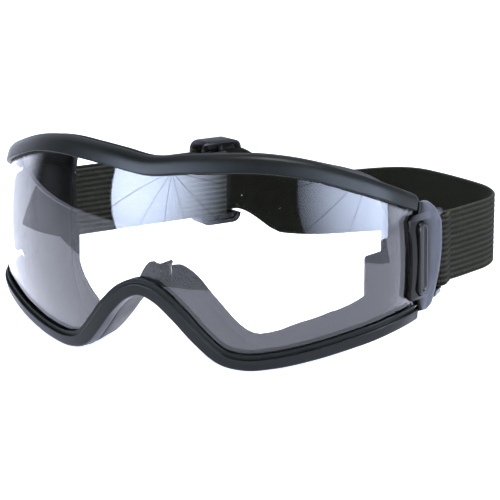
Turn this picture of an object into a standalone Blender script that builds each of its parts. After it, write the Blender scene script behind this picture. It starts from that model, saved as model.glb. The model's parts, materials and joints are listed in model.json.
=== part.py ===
"""Safety goggles: soft rim with a wrap-round lens, face skirt, side clips and an elastic headband.

Metres, +Z up.  The lens faces -Y, the headband lies behind it towards +Y, and the wearer's left is +X.
The rim, the lens and the skirt are laid out on one toric surface: a distance s along its plan curve,
a height z, and an offset u along the outward normal.
"""
import math

import bmesh
import bpy
from mathutils import Matrix, Vector

# Where the layout's own zero (middle of the lens) sits in the part's frame
SHIFT_Y = -0.076688
SHIFT_Z = 0.034159

# Plan curve of the lens: brow arc, corner arc, straight temple
FRONT_RADIUS = 0.1022
FRONT_HALF_ARC = 0.0783
CORNER_RADIUS = 0.0267
TEMPLE_HEADING = math.radians(83.3)
TEMPLE_LENGTH = 0.0094
VERTICAL_RADIUS = 0.1093

# Rim: heights of the bead's centreline against the distance along the plan curve
TOP_KNOTS = ((0.0, 0.0345), (0.014, 0.0359), (0.028, 0.0368), (0.042, 0.0370), (0.058, 0.0352),
             (0.074, 0.0309), (0.090, 0.0256), (0.106, 0.0196))
BOTTOM_KNOTS = ((0.0, -0.0065), (0.007, -0.0090), (0.014, -0.0152), (0.021, -0.0229), (0.028, -0.0291),
                (0.036, -0.0312), (0.046, -0.0303), (0.060, -0.0271), (0.075, -0.0227), (0.090, -0.0184),
                (0.106, -0.0161))
END_CORNER_RADIUS = 0.005
END_ANGLES = (15.0, 29.5, 48.0, 68.0, 90.0)
BEAD_END_INSET = 0.00375
RIM_HEIGHT = 0.0059
RIM_DEPTH = 0.0064
RIM_STATIONS = 44
END_STATIONS = 5

# Lens and its groove
LENS_THICKNESS = 0.0022
LENS_BITE = -0.0002
LENS_ROWS = 8
GROOVE_CLEARANCE = 0.0003
GROOVE_DEPTH = 0.0010
TEMPLE_FACE_OFFSET = 0.0011
BEAD_END_LENGTH = 0.0012
BEAD_END_SLOPE = 0.561

# Face skirt
SKIRT_THICKNESS = 0.0020
SKIRT_STANDOFF = 0.0049
FACE_FRONT_Y = 0.022
FACE_CURVE = 9.5
NOSE_FORWARD = 0.0065
NOSE_HALF_WIDTH = 0.009
FACE_HALF_WIDTH_OUTER = 0.070
FACE_HALF_WIDTH_INNER = 0.0645
FACE_SHARPNESS = 4.0
SKIRT_FRONT_RISE = 0.0016
SKIRT_REAR_RISE = 0.0020
SKIRT_BROW_DROP = 0.0068
BROW_LIP = 0.0068
CHEEK_LIP = ((0.0, 0.0066), (0.006, 0.0050), (0.012, 0.0028), (0.018, 0.0020), (0.024, 0.0020), (0.031, 0.0045),
             (0.040, 0.0072), (0.055, 0.0085), (0.075, 0.0080), (0.106, 0.0075))
NOSE_SLIT_X = (-0.0026, 0.0026)
NOSE_SLIT_WIDTH = 0.0011
NOSE_SLIT_DEPTH = 0.006
NOSE_SLIT_HEIGHT = 0.006
NOSE_SLIT_Z = 0.0012

# Side clips
CLIP_GAP = 0.0003
EDGE_SOFTENING = 0.0005
CLIP_THICKNESS = 0.0013
CLIP_START = 0.0115
CLIP_FRONT_GAP = 0.0007
CLIP_TOP_Z = 0.0212
CLIP_BOTTOM_Z = -0.0168
CLIP_CORNER = 0.0020
CLIP_BACK_BOW = 0.0009
CLIP_FLANGE_WIDTH = 0.0019
CLIP_BACK_LOW = 0.0034
CLIP_BACK_HIGH = 0.0078
CLIP_BACK_LOW_Z = -0.0112
CLIP_BACK_HIGH_Z = 0.0138
CLIP_FLANGE_RISE = 0.0014
CLIP_NECK_TOP_Z = 0.0176
CLIP_NECK_BOTTOM_Z = -0.0120
LUG_WIDTH = 0.0056
LUG_HEIGHT = 0.0255
LUG_CENTRE_S = -0.0043
LUG_CENTRE_Z = 0.0021
LUG_PROUD = 0.0012
LUG_CLEARANCE = 0.0004
CUT_MARGIN = 0.002

# Strap bar on each clip
BAR_S = 0.0158
BAR_U = -0.0030
BAR_RADIUS = 0.0016
ARM_GAP = 0.0004
ARM_HEIGHT = 0.0015
ARM_START_S = 0.0009
ARM_KNEE_S = 0.0066
ARM_ROOT_U = 0.0019
ARM_BASE_U = 0.0025

# Elastic headband
STRAP_WIDTH = 0.0255
STRAP_THICKNESS = 0.0015
STRAP_CENTRE_Z = 0.0010
LOOP_CLEARANCE = 0.00035
TILT_RADIUS = 0.0140
TILT_GAP = 0.0004
LEFT_HEADING = math.radians(63.0)
RIGHT_HEADING = math.radians(-99.0)
LEFT_RUN = 0.086
LEFT_RUN_POINTS = 3
REAR_CORNER_RADIUS = 0.014
REAR_SAG = 0.0095
SAG_PEAK = 0.11
SAG_END = 0.50
REAR_HEADING = math.radians(2.0)
REAR_END_HEADING = math.radians(-34.0)
SIDE_RADIUS = 0.028
RETURN_END = 0.037
STITCH_TAIL = 0.0032
TAIL_MARGIN = 0.004
ARC_TOOL_LENGTH = 0.03
TALL_CUT = 1.2

# Slider
SLIDER_RUN = 0.0760
SLIDER_LENGTH = 0.0190
SLIDER_WINDOW = 0.0262
SLIDER_END_HEIGHT = 0.0037
SLIDER_BAR_WIDTH = 0.0038
SLIDER_BAR_THICKNESS = 0.0022
SLIDER_CENTRE_BAR_RADIUS = 0.0010
SLIDER_CENTRE_OFFSET = -0.0012
SLIDER_INNER_FACE = -0.0024
SLIDER_LOOP_WIDTH = 0.0250
SLIDER_LOOP_TAIL = 0.0170
SLIDER_ROUNDING = 0.0022
SLIDER_BAND_GAP = 0.0004
SLIDER_CUT_MARGIN = 0.01
LOOP_TAIL_THICKNESS = 0.0030


def clear_scene():
    for item in list(bpy.data.objects):
        bpy.data.objects.remove(item, do_unlink=True)


def new_collection(name):
    group = bpy.data.collections.new(name)
    bpy.context.scene.collection.children.link(group)
    return group


def make_material(name, color, roughness, alpha=1.0):
    material = bpy.data.materials.new(name)
    material.use_nodes = True
    shader = material.node_tree.nodes["Principled BSDF"]
    shader.inputs["Base Color"].default_value = (*color, 1.0)
    shader.inputs["Roughness"].default_value = roughness
    shader.inputs["Metallic"].default_value = 0.0
    shader.inputs["Alpha"].default_value = alpha
    return material


def mesh_object(name, points, faces, group):
    mesh = bpy.data.meshes.new(name)
    mesh.from_pydata([tuple(p) for p in points], [], faces)
    mesh.update()
    item = bpy.data.objects.new(name, mesh)
    group.objects.link(item)
    bm = bmesh.new()
    bm.from_mesh(mesh)
    bmesh.ops.recalc_face_normals(bm, faces=bm.faces)
    bm.to_mesh(mesh)
    bm.free()
    return item


def smooth(item, angle=35.0):
    item.data.shade_smooth()
    item.data.set_sharp_from_angle(angle=math.radians(angle))


def box_object(name, size, group):
    bpy.ops.mesh.primitive_cube_add(size=1.0)
    return adopt(name, size, group)


def cylinder_object(name, radius, height, group, vertices=24):
    bpy.ops.mesh.primitive_cylinder_add(vertices=vertices, radius=radius, depth=height)
    return adopt(name, (1.0, 1.0, 1.0), group)


def adopt(name, size, group):
    """Name the primitive just added, give it its size and move it to its collection."""
    item = bpy.context.object
    item.name = name
    item.data.name = name
    item.data.transform(Matrix.Diagonal((*size, 1.0)))
    for home in list(item.users_collection):
        home.objects.unlink(item)
    group.objects.link(item)
    if group.name == "cutters":
        hide_cutter(item)
    return item


def hide_cutter(item):
    item.hide_render = True
    item.display_type = "WIRE"


def boolean(item, tool, operation):
    step = item.modifiers.new(tool.name, "BOOLEAN")
    step.operation = operation
    step.object = tool
    step.solver = "EXACT"


def bevel(item, width, segments=2):
    edges = item.modifiers.new("bevel", "BEVEL")
    edges.width = width
    edges.segments = segments
    edges.limit_method = "ANGLE"
    edges.angle_limit = math.radians(40)


def finish(item, material, angle=35.0):
    item.data.materials.clear()
    item.data.materials.append(material)
    smooth(item, angle)
    return item


def spline(knots, x):
    """Cubic Hermite curve through the knots, level at the first one, read at |x|."""
    x = min(abs(x), knots[-1][0])
    slopes = [0.0]
    for a, b, c in zip(knots[:-2], knots[1:-1], knots[2:]):
        left = (b[1] - a[1]) / (b[0] - a[0])
        right = (c[1] - b[1]) / (c[0] - b[0])
        left_span = b[0] - a[0]
        right_span = c[0] - b[0]
        slopes.append((left * right_span + right * left_span) / (left_span + right_span))
    slopes.append((knots[-1][1] - knots[-2][1]) / (knots[-1][0] - knots[-2][0]))
    for i in range(len(knots) - 1):
        if x <= knots[i + 1][0]:
            break
    span = knots[i + 1][0] - knots[i][0]
    t = (x - knots[i][0]) / span
    h00 = 2 * t**3 - 3 * t**2 + 1
    h10 = t**3 - 2 * t**2 + t
    h01 = -2 * t**3 + 3 * t**2
    h11 = t**3 - t**2
    return (h00 * knots[i][1] + h10 * span * slopes[i]
            + h01 * knots[i + 1][1] + h11 * span * slopes[i + 1])


def half_length():
    front_heading = FRONT_HALF_ARC / FRONT_RADIUS
    return FRONT_HALF_ARC + CORNER_RADIUS * (TEMPLE_HEADING - front_heading) + TEMPLE_LENGTH


HALF = half_length()
RIM_END = HALF - 0.0015


def plan(s):
    """Point and heading of the plan curve at a signed distance from the middle."""
    a = abs(s)
    sign = -1.0 if s < 0 else 1.0
    front_heading = FRONT_HALF_ARC / FRONT_RADIUS
    corner_end = FRONT_HALF_ARC + CORNER_RADIUS * (TEMPLE_HEADING - front_heading)
    corner_x = FRONT_RADIUS * math.sin(front_heading)
    corner_y = FRONT_RADIUS * (1 - math.cos(front_heading))
    if a < FRONT_HALF_ARC:
        heading = a / FRONT_RADIUS
        x = FRONT_RADIUS * math.sin(heading)
        y = FRONT_RADIUS * (1 - math.cos(heading))
    else:
        heading = min(front_heading + (a - FRONT_HALF_ARC) / CORNER_RADIUS, TEMPLE_HEADING)
        x = corner_x + CORNER_RADIUS * (math.sin(heading) - math.sin(front_heading))
        y = corner_y + CORNER_RADIUS * (math.cos(front_heading) - math.cos(heading))
        if a > corner_end:
            x += (a - corner_end) * math.cos(TEMPLE_HEADING)
            y += (a - corner_end) * math.sin(TEMPLE_HEADING)
    return sign * x, y, sign * heading


def wrap(s, z, u):
    """World point at distance s, height z and outward offset u of the toric surface."""
    x, y, heading = plan(s)
    out = u - z * z / (2 * VERTICAL_RADIUS)
    return Vector((x + math.sin(heading) * out,
                   y - math.cos(heading) * out + SHIFT_Y,
                   z + SHIFT_Z))


def rounded_height(knots, s, inward):
    """Rim height at s with the end corner rounded off; inward is -1 at the top and +1 at the bottom."""
    height = spline(knots, s)
    over = abs(s) - (RIM_END - END_CORNER_RADIUS)
    if over <= 0:
        return height
    over = min(over, END_CORNER_RADIUS)
    drop = END_CORNER_RADIUS - math.sqrt(max(END_CORNER_RADIUS**2 - over**2, 0.0))
    return height + inward * drop


def station_positions():
    """Distances of the rim stations: even along the front, closer together round the end corners."""
    straight = RIM_END - END_CORNER_RADIUS
    half = [straight * i / (RIM_STATIONS // 2) for i in range(RIM_STATIONS // 2 + 1)]
    half += [straight + END_CORNER_RADIUS * math.sin(math.radians(a)) for a in END_ANGLES]
    return [-s for s in reversed(half[1:])] + half


def rim_loop():
    """Closed centreline of the rim in (s, z), with the outward direction at each point."""
    positions = station_positions()
    top = [(s, rounded_height(TOP_KNOTS, s, -1)) for s in positions]
    bottom = [(s, rounded_height(BOTTOM_KNOTS, s, 1)) for s in positions]
    right = [(RIM_END, top[-1][1] + (bottom[-1][1] - top[-1][1]) * i / END_STATIONS)
             for i in range(1, END_STATIONS)]
    left = [(-s, z) for s, z in reversed(right)]
    loop = top + right + bottom[::-1] + left
    count = len(loop)
    result = []
    for i, (s, z) in enumerate(loop):
        before = loop[i - 1]
        after = loop[(i + 1) % count]
        ds = after[0] - before[0]
        dz = after[1] - before[1]
        length = math.hypot(ds, dz)
        result.append((s, z, -dz / length, ds / length))
    return result, len(positions)


def rim_section(blend):
    """Rim cross-section as (u, v) points, from the full bead (0) to the low temple strip (1)."""
    half_depth = RIM_DEPTH / 2
    half_height = RIM_HEIGHT / 2
    slot = LENS_THICKNESS / 2 + GROOVE_CLEARANCE
    lip_v = -half_height * 0.94
    bead = [(slot, lip_v)]
    for angle in (-60, -25, 10, 45, 75, 105, 135, 170, 205, 240):
        a = math.radians(angle)
        c = math.cos(a)
        s = math.sin(a)
        bead.append((half_depth * math.copysign(abs(c) ** 0.8, c),
                     half_height * math.copysign(abs(s) ** 0.8, s)))
    bead += [(-slot, lip_v), (-slot, GROOVE_DEPTH), (slot, GROOVE_DEPTH)]
    strip = []
    for u, v in bead[:-2]:
        limit = TEMPLE_FACE_OFFSET
        if u > limit:
            low = GROOVE_DEPTH + 0.0002
            share = (v + half_height) / RIM_HEIGHT
            strip.append((limit, low + share * (half_height - low)))
        else:
            strip.append((u, v))
    strip += [(-slot, GROOVE_DEPTH), (limit - 0.0002, GROOVE_DEPTH)]
    return [(b[0] + (t[0] - b[0]) * blend, b[1] + (t[1] - b[1]) * blend) for b, t in zip(bead, strip)]


def ramp(value, start, length):
    t = min(max((value - start) / length, 0.0), 1.0)
    return t * t * (3 - 2 * t)


def build_front_frame(group, material):
    loop, _ = rim_loop()
    points = []
    for s, z, ns, nz in loop:
        blend = ramp(abs(s), RIM_END - BEAD_END_INSET, BEAD_END_LENGTH)
        for u, v in rim_section(blend):
            points.append(wrap(s + ns * v, z + nz * v, u))
    width = len(rim_section(0.0))
    count = len(loop)
    faces = []
    for i in range(count):
        for j in range(width):
            a = i * width + j
            b = i * width + (j + 1) % width
            c = ((i + 1) % count) * width + (j + 1) % width
            d = ((i + 1) % count) * width + j
            faces.append((a, b, c, d))
    return finish(mesh_object("front_frame", points, faces, group), material)


def build_lens(group, material):
    """Open toric sheet between the two grooves, thickened by Solidify."""
    loop, count = rim_loop()
    top = loop[:count]
    start = count + END_STATIONS - 1
    bottom = loop[start:start + count][::-1]
    points = []
    for (s0, z0, ns0, nz0), (s1, z1, ns1, nz1) in zip(top, bottom):
        a = (s0 + ns0 * LENS_BITE, z0 + nz0 * LENS_BITE)
        b = (s1 + ns1 * LENS_BITE, z1 + nz1 * LENS_BITE)
        for j in range(LENS_ROWS + 1):
            t = j / LENS_ROWS
            points.append(wrap(a[0] + (b[0] - a[0]) * t, a[1] + (b[1] - a[1]) * t, 0.0))
    rows = LENS_ROWS + 1
    faces = []
    for i in range(count - 1):
        for j in range(LENS_ROWS):
            faces.append((i * rows + j, i * rows + j + 1, (i + 1) * rows + j + 1, (i + 1) * rows + j))
    item = mesh_object("lens", points, faces, group)
    add_shell(item, LENS_THICKNESS)
    return finish(item, material)


def add_shell(item, thickness):
    shell = item.modifiers.new("shell", "SOLIDIFY")
    shell.thickness = thickness
    shell.offset = 0.0
    shell.use_even_offset = True


def face_point(s, z, half_width):
    """Point of the face-side surface that matches (s, z) of the lens surface."""
    x = s / (1 + (abs(s) / half_width) ** FACE_SHARPNESS) ** (1 / FACE_SHARPNESS)
    nose = NOSE_FORWARD * math.exp(-(x / NOSE_HALF_WIDTH) ** 2) if z < 0 else 0.0
    return Vector((x, FACE_FRONT_Y + FACE_CURVE * x * x - nose + SHIFT_Y, z + SHIFT_Z))


def build_face_skirt(group, cutters, material):
    """Open strip running round the rim: back from the bead, then inwards against the face."""
    loop, _ = rim_loop()
    points = []
    for s, z, ns, nz in loop:
        front = wrap(s + ns * SKIRT_FRONT_RISE, z + nz * SKIRT_FRONT_RISE, -SKIRT_STANDOFF)
        rise = SKIRT_REAR_RISE - SKIRT_BROW_DROP * max(nz, 0.0)
        rear = face_point(s + ns * rise, z + nz * rise, FACE_HALF_WIDTH_OUTER)
        depth = BROW_LIP if nz > 0 else spline(CHEEK_LIP, s)
        lip = face_point(s - ns * depth, z - nz * depth, FACE_HALF_WIDTH_INNER)
        turn = rear.lerp(lip, 0.16) + (front - rear).normalized() * -0.0004
        points += [front, front.lerp(rear, 0.5), front.lerp(rear, 0.86), turn, rear.lerp(lip, 0.55), lip]
    width = 6
    count = len(loop)
    faces = []
    for i in range(count):
        for j in range(width - 1):
            k = (i + 1) % count
            faces.append((i * width + j, i * width + j + 1, k * width + j + 1, k * width + j))
    item = mesh_object("face_skirt", points, faces, group)
    add_shell(item, SKIRT_THICKNESS)
    for x in NOSE_SLIT_X:
        slit = box_object("nose_slit", (NOSE_SLIT_WIDTH, NOSE_SLIT_DEPTH, NOSE_SLIT_HEIGHT), cutters)
        slit.location = (x, FACE_FRONT_Y - NOSE_FORWARD + SHIFT_Y, NOSE_SLIT_Z + SHIFT_Z)
        boolean(item, slit, "DIFFERENCE")
    return finish(item, material)


def stack(name, sections, group):
    """Closed solid through equal-length plan sections, one above another."""
    width = len(sections[0])
    points = [point for section in sections for point in section]
    last = (len(sections) - 1) * width
    faces = [tuple(range(width)), tuple(range(last, last + width))]
    for i in range(len(sections) - 1):
        for j in range(width):
            k = (j + 1) % width
            faces.append((i * width + j, i * width + k, (i + 1) * width + k, (i + 1) * width + j))
    return mesh_object(name, points, faces, group)


def clip_back(z):
    """Distance of the clip's back edge at height z: a slanted, slightly bowed edge with swept corners."""
    if z > CLIP_BACK_HIGH_Z:
        t = (z - CLIP_BACK_HIGH_Z) / (CLIP_TOP_Z - CLIP_BACK_HIGH_Z)
        near = clip_front(CLIP_TOP_Z) + CLIP_FLANGE_WIDTH + CLIP_CORNER
        return near + (HALF + CLIP_BACK_HIGH - near) * max(1 - t, 0.0) ** 0.62
    if z < CLIP_BACK_LOW_Z:
        t = (CLIP_BACK_LOW_Z - z) / (CLIP_BACK_LOW_Z - CLIP_BOTTOM_Z)
        near = clip_front(CLIP_BOTTOM_Z) + CLIP_FLANGE_WIDTH + CLIP_CORNER
        return near + (HALF + CLIP_BACK_LOW - near) * max(1 - t, 0.0) ** 0.62
    t = (z - CLIP_BACK_LOW_Z) / (CLIP_BACK_HIGH_Z - CLIP_BACK_LOW_Z)
    bow = CLIP_BACK_BOW * math.sin(math.pi * t)
    return HALF + CLIP_BACK_LOW + (CLIP_BACK_HIGH - CLIP_BACK_LOW) * t + bow


def clip_front(z):
    """Distance of the clip's front edge at height z: ahead of the bead ends, or beside a bead's slanted end."""
    if CLIP_NECK_BOTTOM_Z <= z <= CLIP_NECK_TOP_Z:
        short = min(z - CLIP_NECK_BOTTOM_Z, CLIP_NECK_TOP_Z - z)
        return HALF - CLIP_START + CLIP_CORNER * max(1 - short / CLIP_CORNER, 0.0) ** 2
    bead_end = RIM_END - BEAD_END_INSET + BEAD_END_LENGTH
    height = rounded_height(TOP_KNOTS, bead_end, -1) if z > 0 else rounded_height(BOTTOM_KNOTS, bead_end, 1)
    return bead_end + (abs(z) - abs(height)) * BEAD_END_SLOPE + CLIP_FRONT_GAP


def clip_sections(side):
    """Plan sections of a clip: a plate that narrows between the rim's bead ends, and a raised flange."""
    inner = TEMPLE_FACE_OFFSET + CLIP_GAP
    outer = inner + CLIP_THICKNESS
    third = CLIP_CORNER / 3
    levels = [CLIP_BOTTOM_Z + third * share for share in (0.0, 0.4, 1.8, 4.2)]
    levels += [CLIP_NECK_BOTTOM_Z + third * share for share in (-0.6, 0.0, 1.0, 3.0)]
    levels += [-0.006, 0.0, 0.005, 0.010, CLIP_BACK_HIGH_Z]
    levels += [CLIP_NECK_TOP_Z + third * share for share in (-3.0, -1.0, 0.0, 0.6)]
    levels += [CLIP_TOP_Z + third * share for share in (-3.0, -1.4, -0.4, 0.0)]
    sections = []
    for z in levels:
        back = clip_back(z)
        front = clip_front(z)
        edge = min(z - CLIP_BOTTOM_Z, CLIP_TOP_Z - z)
        rise = CLIP_FLANGE_RISE * min((edge + CLIP_CORNER / 3) / (CLIP_CORNER * 1.4), 1.0)
        ridge = back - CLIP_FLANGE_WIDTH
        section = [(front, inner), (back - 0.0006, inner), (back, inner + 0.0006), (back, outer),
                   (ridge + 0.0011, outer + rise), (ridge + 0.0003, outer + rise), (ridge, outer),
                   (front + EDGE_SOFTENING, outer), (front, outer - EDGE_SOFTENING)]
        sections.append([wrap(side * s, z, u) for s, u in section])
    return sections


def arm_sections(side, sign):
    """Two plan sections of the arm that runs from the plate back and inwards to one end of the strap bar."""
    near = STRAP_CENTRE_Z + sign * (STRAP_WIDTH / 2 + ARM_GAP)
    far = near + sign * ARM_HEIGHT
    curve = near * near / (2 * VERTICAL_RADIUS)
    tip = HALF + BAR_S
    middle = BAR_U + curve
    outline = [(HALF + ARM_START_S, ARM_BASE_U), (HALF + ARM_KNEE_S, ARM_BASE_U), (tip, middle + BAR_RADIUS),
               (tip + BAR_RADIUS * 0.8, middle + BAR_RADIUS * 0.6), (tip + BAR_RADIUS * 1.1, middle),
               (tip + BAR_RADIUS * 0.8, middle - BAR_RADIUS * 0.6), (tip, middle - BAR_RADIUS),
               (tip - BAR_RADIUS * 1.3, middle - BAR_RADIUS * 0.6), (HALF + ARM_KNEE_S, ARM_ROOT_U - 0.0010),
               (HALF + ARM_START_S, ARM_ROOT_U)]
    sections = []
    for z in (near, far):
        lift = (z * z - near * near) / (2 * VERTICAL_RADIUS)
        sections.append([wrap(side * s, z, u + lift) for s, u in outline])
    return sections


def lug_sections(side, grow, low_u, high_u):
    """Upright oblong with round ends, set on the temple surface."""
    half_width = LUG_WIDTH / 2 + grow
    half_height = LUG_HEIGHT / 2 + grow
    straight = half_height - half_width
    sections = []
    heights = [-half_height + half_width * (1 - math.cos(math.radians(a))) for a in (12, 40, 65, 90)]
    heights += [-straight / 2, 0.0, straight / 2]
    heights += [-h for h in reversed(heights[:4])]
    for h in heights:
        over = max(abs(h) - straight, 0.0)
        w = math.sqrt(max(half_width**2 - over**2, 0.0))
        z = LUG_CENTRE_Z + h
        s = HALF + LUG_CENTRE_S
        soft = min(EDGE_SOFTENING, w * 0.5)
        outline = [(s - w, low_u), (s + w, low_u), (s + w, high_u - soft), (s + w - soft, high_u),
                   (s - w + soft, high_u), (s - w, high_u - soft)]
        sections.append([wrap(side * a, z, u) for a, u in outline])
    return sections


def bar_point(side):
    point = wrap(side * (HALF + BAR_S), 0.0, BAR_U)
    return Vector((point.x, point.y, STRAP_CENTRE_Z + SHIFT_Z))


def build_side(side, suffix, group, cutters, hard, lug_material):
    """One clip with its flange, strap bar and arms, and the lug that locks it to the rim."""
    plate = stack("temple_clip_" + suffix, clip_sections(side), group)
    centre = bar_point(side)
    for sign in (1, -1):
        arm = stack("clip_arm", arm_sections(side, sign), cutters)
        hide_cutter(arm)
        boolean(plate, arm, "UNION")
    bar = cylinder_object("clip_bar", BAR_RADIUS, STRAP_WIDTH + 2 * ARM_GAP + ARM_HEIGHT, cutters, 16)
    bar.location = centre
    boolean(plate, bar, "UNION")
    top = TEMPLE_FACE_OFFSET + CLIP_GAP + CLIP_THICKNESS
    opening = lug_sections(side, LUG_CLEARANCE, TEMPLE_FACE_OFFSET - CUT_MARGIN, top + CUT_MARGIN)
    slot = stack("lug_slot", opening, cutters)
    hide_cutter(slot)
    boolean(plate, slot, "DIFFERENCE")
    finish(plate, hard)
    base = TEMPLE_FACE_OFFSET + CLIP_GAP
    lug = stack("rim_lug_" + suffix, lug_sections(side, 0.0, base, top + LUG_PROUD), group)
    finish(lug, lug_material)


def ring(name, centre, heading, stitched, group, cutters, material):
    """Strap end folded round a clip bar; its back edge is an arc about the strap's tilt axis."""
    inner = BAR_RADIUS + LOOP_CLEARANCE
    outer = inner + STRAP_THICKNESS
    item = cylinder_object(name, outer, STRAP_WIDTH, group, 20)
    item.location = centre
    item.rotation_euler = (0.0, 0.0, heading)
    run = Vector((math.cos(heading), math.sin(heading), 0.0))
    length = TILT_RADIUS + TAIL_MARGIN
    width = STITCH_TAIL if stitched else 2 * outer
    tail = box_object("strap_tail", (length, width, STRAP_WIDTH), cutters)
    tail.location = centre + run * length / 2
    tail.rotation_euler = (0.0, 0.0, heading)
    boolean(item, tail, "UNION")
    hole = cylinder_object("strap_hole", inner, STRAP_WIDTH * TALL_CUT, cutters, 16)
    hole.location = centre
    boolean(item, hole, "DIFFERENCE")
    if not stitched:
        gap = box_object("strap_gap", (length + CUT_MARGIN, 2 * inner, STRAP_WIDTH * TALL_CUT), cutters)
        gap.location = centre + run * (length + CUT_MARGIN) / 2
        gap.rotation_euler = (0.0, 0.0, heading)
        boolean(item, gap, "DIFFERENCE")
    keep = cylinder_object("tilt_arc", TILT_RADIUS, ARC_TOOL_LENGTH, cutters, 48)
    keep.location = centre
    keep.rotation_euler = (0.0, math.radians(90), 0.0)
    boolean(item, keep, "INTERSECT")
    return finish(item, material)


def band_path():
    """Plan points of the headband's outer layer, from the left clip bar round the back to the right one."""
    left = bar_point(-1)
    right = bar_point(1)
    offset = BAR_RADIUS + LOOP_CLEARANCE + STRAP_THICKNESS / 2
    run = Vector((math.cos(LEFT_HEADING), math.sin(LEFT_HEADING)))
    start = Vector((left.x, left.y)) + Vector((-run.y, run.x)) * offset
    corner = start + run * LEFT_RUN
    centre = corner + REAR_CORNER_RADIUS * Vector((run.y, -run.x))
    rear_start = centre + REAR_CORNER_RADIUS * Vector((-math.sin(REAR_HEADING), math.cos(REAR_HEADING)))
    target = Vector((right.x, right.y))
    side = SIDE_RADIUS * Vector((math.sin(REAR_END_HEADING) - math.sin(RIGHT_HEADING),
                                 math.cos(RIGHT_HEADING) - math.cos(REAR_END_HEADING)))
    need = target - rear_start - side
    arc = Vector((math.sin(REAR_HEADING) - math.sin(REAR_END_HEADING),
                  math.cos(REAR_END_HEADING) - math.cos(REAR_HEADING)))
    straight = Vector((math.cos(RIGHT_HEADING), math.sin(RIGHT_HEADING)))
    determinant = arc.x * straight.y - arc.y * straight.x
    rear_radius = (need.x * straight.y - need.y * straight.x) / determinant
    points = [start + run * LEFT_RUN * i / (LEFT_RUN_POINTS - 1) for i in range(LEFT_RUN_POINTS)]
    turns = ((centre, REAR_CORNER_RADIUS, LEFT_HEADING, REAR_HEADING, 9),)
    rear_centre = rear_start + rear_radius * Vector((math.sin(REAR_HEADING), -math.cos(REAR_HEADING)))
    rear_end = rear_centre + rear_radius * Vector((-math.sin(REAR_END_HEADING), math.cos(REAR_END_HEADING)))
    side_centre = rear_end + SIDE_RADIUS * Vector((math.sin(REAR_END_HEADING), -math.cos(REAR_END_HEADING)))
    turns += ((rear_centre, rear_radius, REAR_HEADING, REAR_END_HEADING, 6),
              (side_centre, SIDE_RADIUS, REAR_END_HEADING, RIGHT_HEADING, 11))
    for middle, radius, first, last, count in turns:
        for i in range(1, count + 1):
            heading = first + (last - first) * i / count
            points.append(middle + radius * Vector((-math.sin(heading), math.cos(heading))))
    points.append(target)
    return points


def sagging_heights(path, start):
    """Drop of the band below its ends: none up to the point numbered start, most just behind the slider."""
    lengths = [0.0]
    for a, b in zip(path[start:-1], path[start + 1:]):
        lengths.append(lengths[-1] + (b - a).length)
    heights = [0.0] * start
    for length in lengths:
        t = length / lengths[-1]
        heights.append(-REAR_SAG * ramp(t, 0.0, SAG_PEAK) * (1 - ramp(t, SAG_PEAK, SAG_END - SAG_PEAK)))
    return heights


def ribbon(name, path, heights, group):
    """Upright strip along a plan path, thickened by Solidify."""
    points = []
    for (x, y), height in zip(path, heights):
        low = height + STRAP_CENTRE_Z - STRAP_WIDTH / 2 + SHIFT_Z
        points += [Vector((x, y, low)), Vector((x, y, low + STRAP_WIDTH))]
    faces = [(2 * i, 2 * i + 2, 2 * i + 3, 2 * i + 1) for i in range(len(path) - 1)]
    item = mesh_object(name, points, faces, group)
    add_shell(item, STRAP_THICKNESS)
    return item


def cut_tilt_arcs(item, cutters):
    for side in (1, -1):
        centre = bar_point(side)
        arc = cylinder_object("tilt_clearance", TILT_RADIUS + TILT_GAP, ARC_TOOL_LENGTH, cutters, 48)
        arc.location = centre
        arc.rotation_euler = (0.0, math.radians(90), 0.0)
        boolean(item, arc, "DIFFERENCE")


def pivot_on_tilt_axis(item):
    pivot = Vector((0.0, bar_point(1).y, bar_point(1).z))
    item.data.transform(Matrix.Translation(-pivot))
    item.location = pivot


def build_headband(group, cutters, material):
    path = band_path()
    band = ribbon("strap_band", path, sagging_heights(path, LEFT_RUN_POINTS), group)
    pivot_on_tilt_axis(band)
    cut_tilt_arcs(band, cutters)
    finish(band, material)
    left = bar_point(-1)
    run = Vector((math.cos(LEFT_HEADING), math.sin(LEFT_HEADING)))
    offset = BAR_RADIUS + LOOP_CLEARANCE + STRAP_THICKNESS / 2
    start = Vector((left.x, left.y)) - Vector((-run.y, run.x)) * offset
    inner_path = [start, start + run * RETURN_END * 0.5, start + run * RETURN_END]
    inner = ribbon("strap_return", inner_path, [0.0] * len(inner_path), group)
    pivot_on_tilt_axis(inner)
    cut_tilt_arcs(inner, cutters)
    finish(inner, material)


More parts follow.
